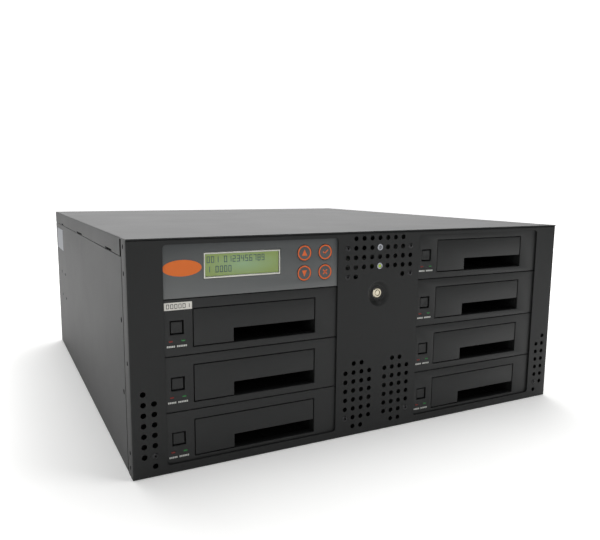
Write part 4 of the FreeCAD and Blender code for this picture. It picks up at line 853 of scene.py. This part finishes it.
# ------------------------------------------------------------------ control panel
CONTROL = bay_origin("control_fascia")
DISPLAY_AT = (CONTROL[0] - 10.5, CONTROL[1] + 23.25)
DISPLAY_WINDOW = (62.8, 19.9)
SURROUND = (62.4, 19.5)
SURROUND_BACK = 3.6
VIEW = (60.2, 16.9)
CAN = (72.0, 29.1)
CAN_HOLLOW = (70.4, 27.5)
CAN_FRONT_SHEET = 0.8
CAN_BACK = 9.2
THROUGH_CAN_SHEET = (-5, 6)
KEY_RADIUS = 6.1
KEY_HOLE_RADIUS = 6.35
KEY_FACE = BEZEL_FACE - 0.3
KEY_BACK = BEZEL_FACE + 1.5
KEY_STEM = (3, 3)
KEY_STEM_BACK = BEZEL_FACE + 3.9
KEY_RING = (4.95, 6.0)
KEYS = {}
for key_name in ("up", "down", "enter", "escape"):
    key_low, key_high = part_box(f"key_{key_name}")
    KEYS[key_name] = ((key_low[0] + key_high[0]) / 2 / MM, (key_low[2] + key_high[2]) / 2 / MM)
# Strokes of the tick and the cross as (across, up, slant in degrees, length).
SIGN_STROKES = {
    "enter": ((-1.0, -0.6, 45, 2.6), (0.9, 0.2, -45, 4.6)),
    "escape": ((0, 0, 45, 5.2), (0, 0, -45, 5.2)),
}
SIGN_STROKE_WIDTH = 0.9


def control_shell():
    """Fascia plate with the display's window and the four key holes, and its skirt."""
    centre, floor = CONTROL
    low, high = floor + BAY_LOW, floor + BAY_HIGH
    plate = bar("fascia", (centre - BAY_HALF, centre + BAY_HALF), (BEZEL_FACE, BEZEL_INSIDE), (low, high))
    tools = [tile("window", DISPLAY_AT, DISPLAY_WINDOW, THROUGH_BEZEL)]
    tools += [rod("key_hole", spot, KEY_HOLE_RADIUS, THROUGH_BEZEL, 64) for spot in KEYS.values()]
    soften(cut(plate, tools), 0.45, 3)
    return join("fascia", [plate] + skirt_walls(centre, low, high))


def display_surround():
    """Pressed frame around the display with its can behind."""
    rim = tile("surround", DISPLAY_AT, SURROUND, (BEZEL_FACE, SURROUND_BACK))
    soften(cut(rim, [tile("view", DISPLAY_AT, VIEW, THROUGH_BEZEL)]), 0.3, 3)
    can = tile("can", DISPLAY_AT, CAN, (SURROUND_BACK, CAN_BACK))
    hollow = (SURROUND_BACK + CAN_FRONT_SHEET, 12)
    cut(can, [
        tile("view", DISPLAY_AT, VIEW, THROUGH_CAN_SHEET),
        tile("hollow", DISPLAY_AT, CAN_HOLLOW, hollow),
    ])
    return join("surround", [rim, can])


def key_arrow(x, z, way):
    """Printed arrowhead of one key: it points up for -1 and down for 1."""
    bpy.ops.object.select_all(action="DESELECT")
    bpy.ops.mesh.primitive_cylinder_add(
        vertices=3, radius=2.5 * MM, depth=0.09 * MM,
        location=place(x, KEY_FACE + 0.005, z + way * 0.5), rotation=(math.pi / 2, 0, 0),
    )
    arrow = bpy.context.object
    arrow.scale = (1.05, -1.35 * way, 1.0)
    return settle(arrow, "arrow")


def key_print(name):
    """Printed ring and sign of one key: arrows on two keys, a tick and a cross on the others."""
    x, z = KEYS[name]
    depth = (KEY_FACE - 0.04, KEY_FACE + 0.05)
    inner = rod("inner", (x, z), KEY_RING[0], (KEY_FACE - 3, KEY_FACE + 3), 64)
    pieces = [cut(rod("ring", (x, z), KEY_RING[1], depth, 64), [inner])]
    if name in ("up", "down"):
        pieces.append(key_arrow(x, z, -1 if name == "up" else 1))
    for across, up, slant, length in SIGN_STROKES.get(name, ()):
        stroke = tile("stroke", (x + across, z + up), (SIGN_STROKE_WIDTH, length), depth)
        middle = place(x + across, KEY_FACE, z + up)
        on_whole_mesh(
            stroke, bpy.ops.transform.rotate,
            value=math.radians(slant), orient_axis="Y", center_override=middle,
        )
        pieces.append(stroke)
    printed = join(f"key_print_{name}", pieces)
    return on_whole_mesh(printed, bpy.ops.mesh.normals_make_consistent, inside=False)


seat(control_shell(), "chassis", "fascia_plastic", OVERLAY, "control_fascia")
seat(display_surround(), "chassis", "display_metal", FRAME_STEEL, "display_frame")
for key_name, spot in KEYS.items():
    cap = soften(rod("key_cap", spot, KEY_RADIUS, (KEY_FACE, KEY_BACK), 64), 0.3, 3)
    stem = tile("key_stem", spot, KEY_STEM, (KEY_BACK, KEY_STEM_BACK))
    round_key = join(f"round_key_{key_name}", [cap, stem])
    seat(round_key, f"{key_name}_key", "key_plastic", ABS_GREY, f"key_{key_name}")
    seat(key_print(key_name), f"{key_name}_key", "key_plastic", KEY_INK)

# Bare oval badge at the left of the display: a disc of 1 mm radius with a hairline edge, drawn out to its
# two radii.
BADGE_AT = (CONTROL[0] - 58.1, CONTROL[1] + 22.4)
BADGE_RADII = (14.65, 6.0)
BADGE_EDGE = 0.0001
badge = soften(rod("oval_badge", BADGE_AT, 1.0, (BEZEL_FACE - 0.15, BEZEL_FACE), 96), BADGE_EDGE)
badge_centre = place(BADGE_AT[0], BEZEL_FACE, BADGE_AT[1])
stretch = (BADGE_RADII[0], 1, BADGE_RADII[1])
on_whole_mesh(badge, bpy.ops.transform.resize, value=stretch, center_override=badge_centre)
seat(badge, "chassis", "fascia_plastic", ORANGE_INK)

# White label over the first bay, with a plain number.
bay_label = bar("bay_label", x=(-186.0, -165.1), y=(BEZEL_FACE - 0.12, BEZEL_FACE), z=(124.3, 129.9))
seat(soften(bay_label, 0.05, 1), "chassis", "bezel_plastic", WHITE_LABEL)
ink = (BEZEL_FACE - 0.16, BEZEL_FACE - 0.1)
label_number = number_row(
    "label_number", "000001", (-184.4, 125.4), size=(2.2, 3.4), pitch=3.05, stroke=0.45, y=ink
)
seat(label_number, "chassis", "bezel_plastic", LABEL_INK)

# Two rows of plain numbers on the display's glass.
glass_face = (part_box("display_glass")[0][1] - FACE) / MM
crystal = (glass_face - 0.05, glass_face + 0.03)
row_x = DISPLAY_AT[0] - 28.6
rows = []
for digits, up in (("001 0123456789", 1.7), ("1 0000", -5.6)):
    start = (row_x, DISPLAY_AT[1] + up)
    rows.append(number_row(
        "display_number", digits, start, size=(2.4, 4.9), pitch=3.4, stroke=0.55, y=crystal
    ))
seat(join("display_numbers", rows), "chassis", "display_green", LIQUID_CRYSTAL)


# ------------------------------------------------------------------ key switch and panel lights
# Lathe profiles below are (radius, y).
BARREL_BACK = 30.8
BARREL_PROFILE = [
    (4.4, 24.8), (4.4, 3.1), (4.7, 2.8), (5.9, 2.8), (6.1, 3.0), (6.1, BARREL_BACK), (0.05, BARREL_BACK),
    (0.05, 24.8),
]
CORE_PROFILE = [
    (0.05, 2.5), (1.9, 2.5), (2.1, 2.7), (2.1, 3.3), (2.6, 3.3), (2.6, 2.7), (2.8, 2.4), (3.7, 2.4),
    (4.33, 2.9), (4.33, 24.6), (0.05, 24.6),
]
HOLDER_PROFILE = [
    (1.6, 6.0), (1.6, -0.2), (1.8, -0.5), (2.1, -0.6), (2.4, -0.45), (2.65, -0.15), (2.65, 0.0), (1.95, 0.0),
    (1.95, 6.0),
]
BULB_PROFILE = [
    (0.05, -0.3), (0.6, -0.26), (1.1, -0.12), (1.45, 0.3), (1.5, 0.8), (1.5, 7.0), (0.05, 7.0)
]
# The barrel's near-black front ring round the core is partly painted shade.
lock_barrel = lathe("lock_barrel", (0, LOCK_Z), BARREL_PROFILE, 64, closed=True)
nut = rod("lock_nut", (0, LOCK_Z), radius=9.8, y=(4.2, 8.2), sides=6)
terminals = [
    tile("terminal", (way * 3.0, LOCK_Z), (0.8, 4.8), (BARREL_BACK, BARREL_BACK + 8)) for way in (-1, 1)
]
lock_barrel = join("lock_barrel", [lock_barrel, soften(nut, 0.4, 2)] + terminals)
seat(lock_barrel, "chassis", "lock_black", BARREL_BLACK, "key_switch_body")
core = lathe("lock_face", (0, LOCK_Z), CORE_PROFILE, 64)
cut(core, [tile("key_notch", (0, LOCK_Z + 2.6), (1.0, 1.2), (0, 7.4))])
seat(core, "lock_core", "lock_bright", NICKEL, "key_switch_core")

light_spots = sorted(front_places("L"), key=lambda spot: -spot[1])
# The holders' light grey is a painted reflection of the white studio.
holders = [lathe("holder", spot, HOLDER_PROFILE, 40, closed=True) for spot in light_spots]
seat(join("light_holders", holders), "chassis", "bright_ring", PAINTED_RIM, "lamp_holders")


def light_bulb(name, spot):
    """Domed light-emitting diode with its two leads, set back in its holder."""
    x, z = spot
    pieces = [lathe(name, spot, BULB_PROFILE, 32)]
    pieces += [tile("lead", (x + way * 0.8, z), (0.5, 0.5), (7.0, 9.0)) for way in (-1, 1)]
    return join(name, pieces)


seat(light_bulb("upper_light", light_spots[0]), "chassis", "lamp_clear", LAMP, "panel_lamps")
seat(light_bulb("lower_light", light_spots[1]), "chassis", "lamp_clear", LIT_LAMP)

# Bare rating label near the back of the left side.
side_label = bar("side_label", x=(-CASE_HALF - 0.1, -CASE_HALF), y=(380, 438), z=(131, 157))
seat(side_label, "chassis", "black_coat", GREY_LABEL)


# ------------------------------------------------------------------ floor, light and camera
# The air is brightest towards AIR_TOWARDS. AIR_DIM and AIR_BRIGHT are how far a direction points that way,
# and how bright it is there.
AIR_TOWARDS = (0.4, 0.917, 0.0)
AIR_DIM = (0.6, 0.12)
AIR_BRIGHT = (0.9, 2.1)
# The paper's own light grows between two distances in metres: near, far, weak, strong.
PAPER_GLOW = (0.35, 1.4, 0.18, 0.8)
bpy.ops.object.select_all(action="DESELECT")
bpy.ops.mesh.primitive_plane_add(size=40, location=(0, 0, 0))
floor_sheet = bpy.context.object
floor_sheet.name = "studio_floor"
studio, studio_shader = finish("studio_paper", "#fbfbfa", 0.9, level=0.0, glow="#ffffff")
# The paper is lit more strongly away from the object, so that it runs out to plain white.
on_paper = add_node(studio, "ShaderNodeTexCoord")
away = add_node(studio, "ShaderNodeVectorMath", {0: on_paper.outputs["Object"]}, operation="LENGTH")
brighter = add_node(studio, "ShaderNodeMapRange", {"Value": away.outputs["Value"]})
for socket, value in zip(("From Min", "From Max", "To Min", "To Max"), PAPER_GLOW):
    brighter.inputs[socket].default_value = value
studio.node_tree.links.new(brighter.outputs["Result"], studio_shader.inputs["Emission Strength"])
paint(floor_sheet, grain(studio, studio_shader, 2.0, 0.05, 0.05, "#fafaf9", "#fcfcfb", 0.85, 0.95))

# The air of the studio: bright behind the object and a little to the right, dim in front of it.
world = bpy.data.worlds.new("studio_air")
bpy.context.scene.world = world
world.use_nodes = True
direction = add_node(world, "ShaderNodeTexCoord")
facing = add_node(
    world, "ShaderNodeVectorMath", {0: direction.outputs["Generated"]}, operation="DOT_PRODUCT"
)
facing.inputs[1].default_value = AIR_TOWARDS
fade = add_node(world, "ShaderNodeMapRange", {"Value": facing.outputs["Value"]})
fade.inputs["From Min"].default_value = AIR_DIM[0]
fade.inputs["To Min"].default_value = AIR_DIM[1]
fade.inputs["From Max"].default_value = AIR_BRIGHT[0]
fade.inputs["To Max"].default_value = AIR_BRIGHT[1]
background = world.node_tree.nodes["Background"]
background.inputs["Color"].default_value = (1, 1, 1, 1)
world.node_tree.links.new(fade.outputs["Result"], background.inputs["Strength"])
bpy.context.scene.view_settings.view_transform = "Standard"


def soft_light(name, spot, aim, size, power):
    """A square soft light at a spot, turned towards a point."""
    bpy.ops.object.light_add(type="AREA", location=spot)
    light = bpy.context.object
    light.name = name
    light.data.shape = "SQUARE"
    light.data.size = size
    light.data.energy = power
    light.rotation_euler = (Vector(aim) - Vector(spot)).to_track_quat("-Z", "Y").to_euler()
    return light


soft_light("overhead_softbox", (0.1, 0.5, 2.0), aim=(0.1, 0.5, 0), size=1.8, power=40)
soft_light("high_front_softbox", (0.4, -0.6, 1.55), aim=(0, -0.2, 0.12), size=0.4, power=5)
soft_light("front_left_softbox", (-0.8, -2.0, 0.9), aim=(0, -0.2, 0.08), size=0.9, power=8)

# The camera stands at the front left and looks a little down: degrees, and millimetres on the machine.
CAMERA_SPOT = (-296.1, -420.3, 214.85)
CAMERA_TURN = -27.08
CAMERA_DOWN = 8.46
CAMERA_ROLL = 0.42
bpy.ops.object.camera_add()
camera = bpy.context.object
camera.name = "camera"
camera.data.sensor_width = 36
camera.data.lens = 36.21
camera.data.shift_x = 0.00876
camera.data.shift_y = 0.00771
camera.data.clip_start = 0.01
camera.data.clip_end = 50
turn = Matrix.Rotation(math.radians(CAMERA_TURN), 4, "Z")
tip = Matrix.Rotation(math.radians(90 - CAMERA_DOWN), 4, "X")
roll = Matrix.Rotation(math.radians(CAMERA_ROLL), 4, "Z")
camera.matrix_world = Matrix.Translation(place(*CAMERA_SPOT)) @ turn @ tip @ roll
bpy.context.scene.camera = camera
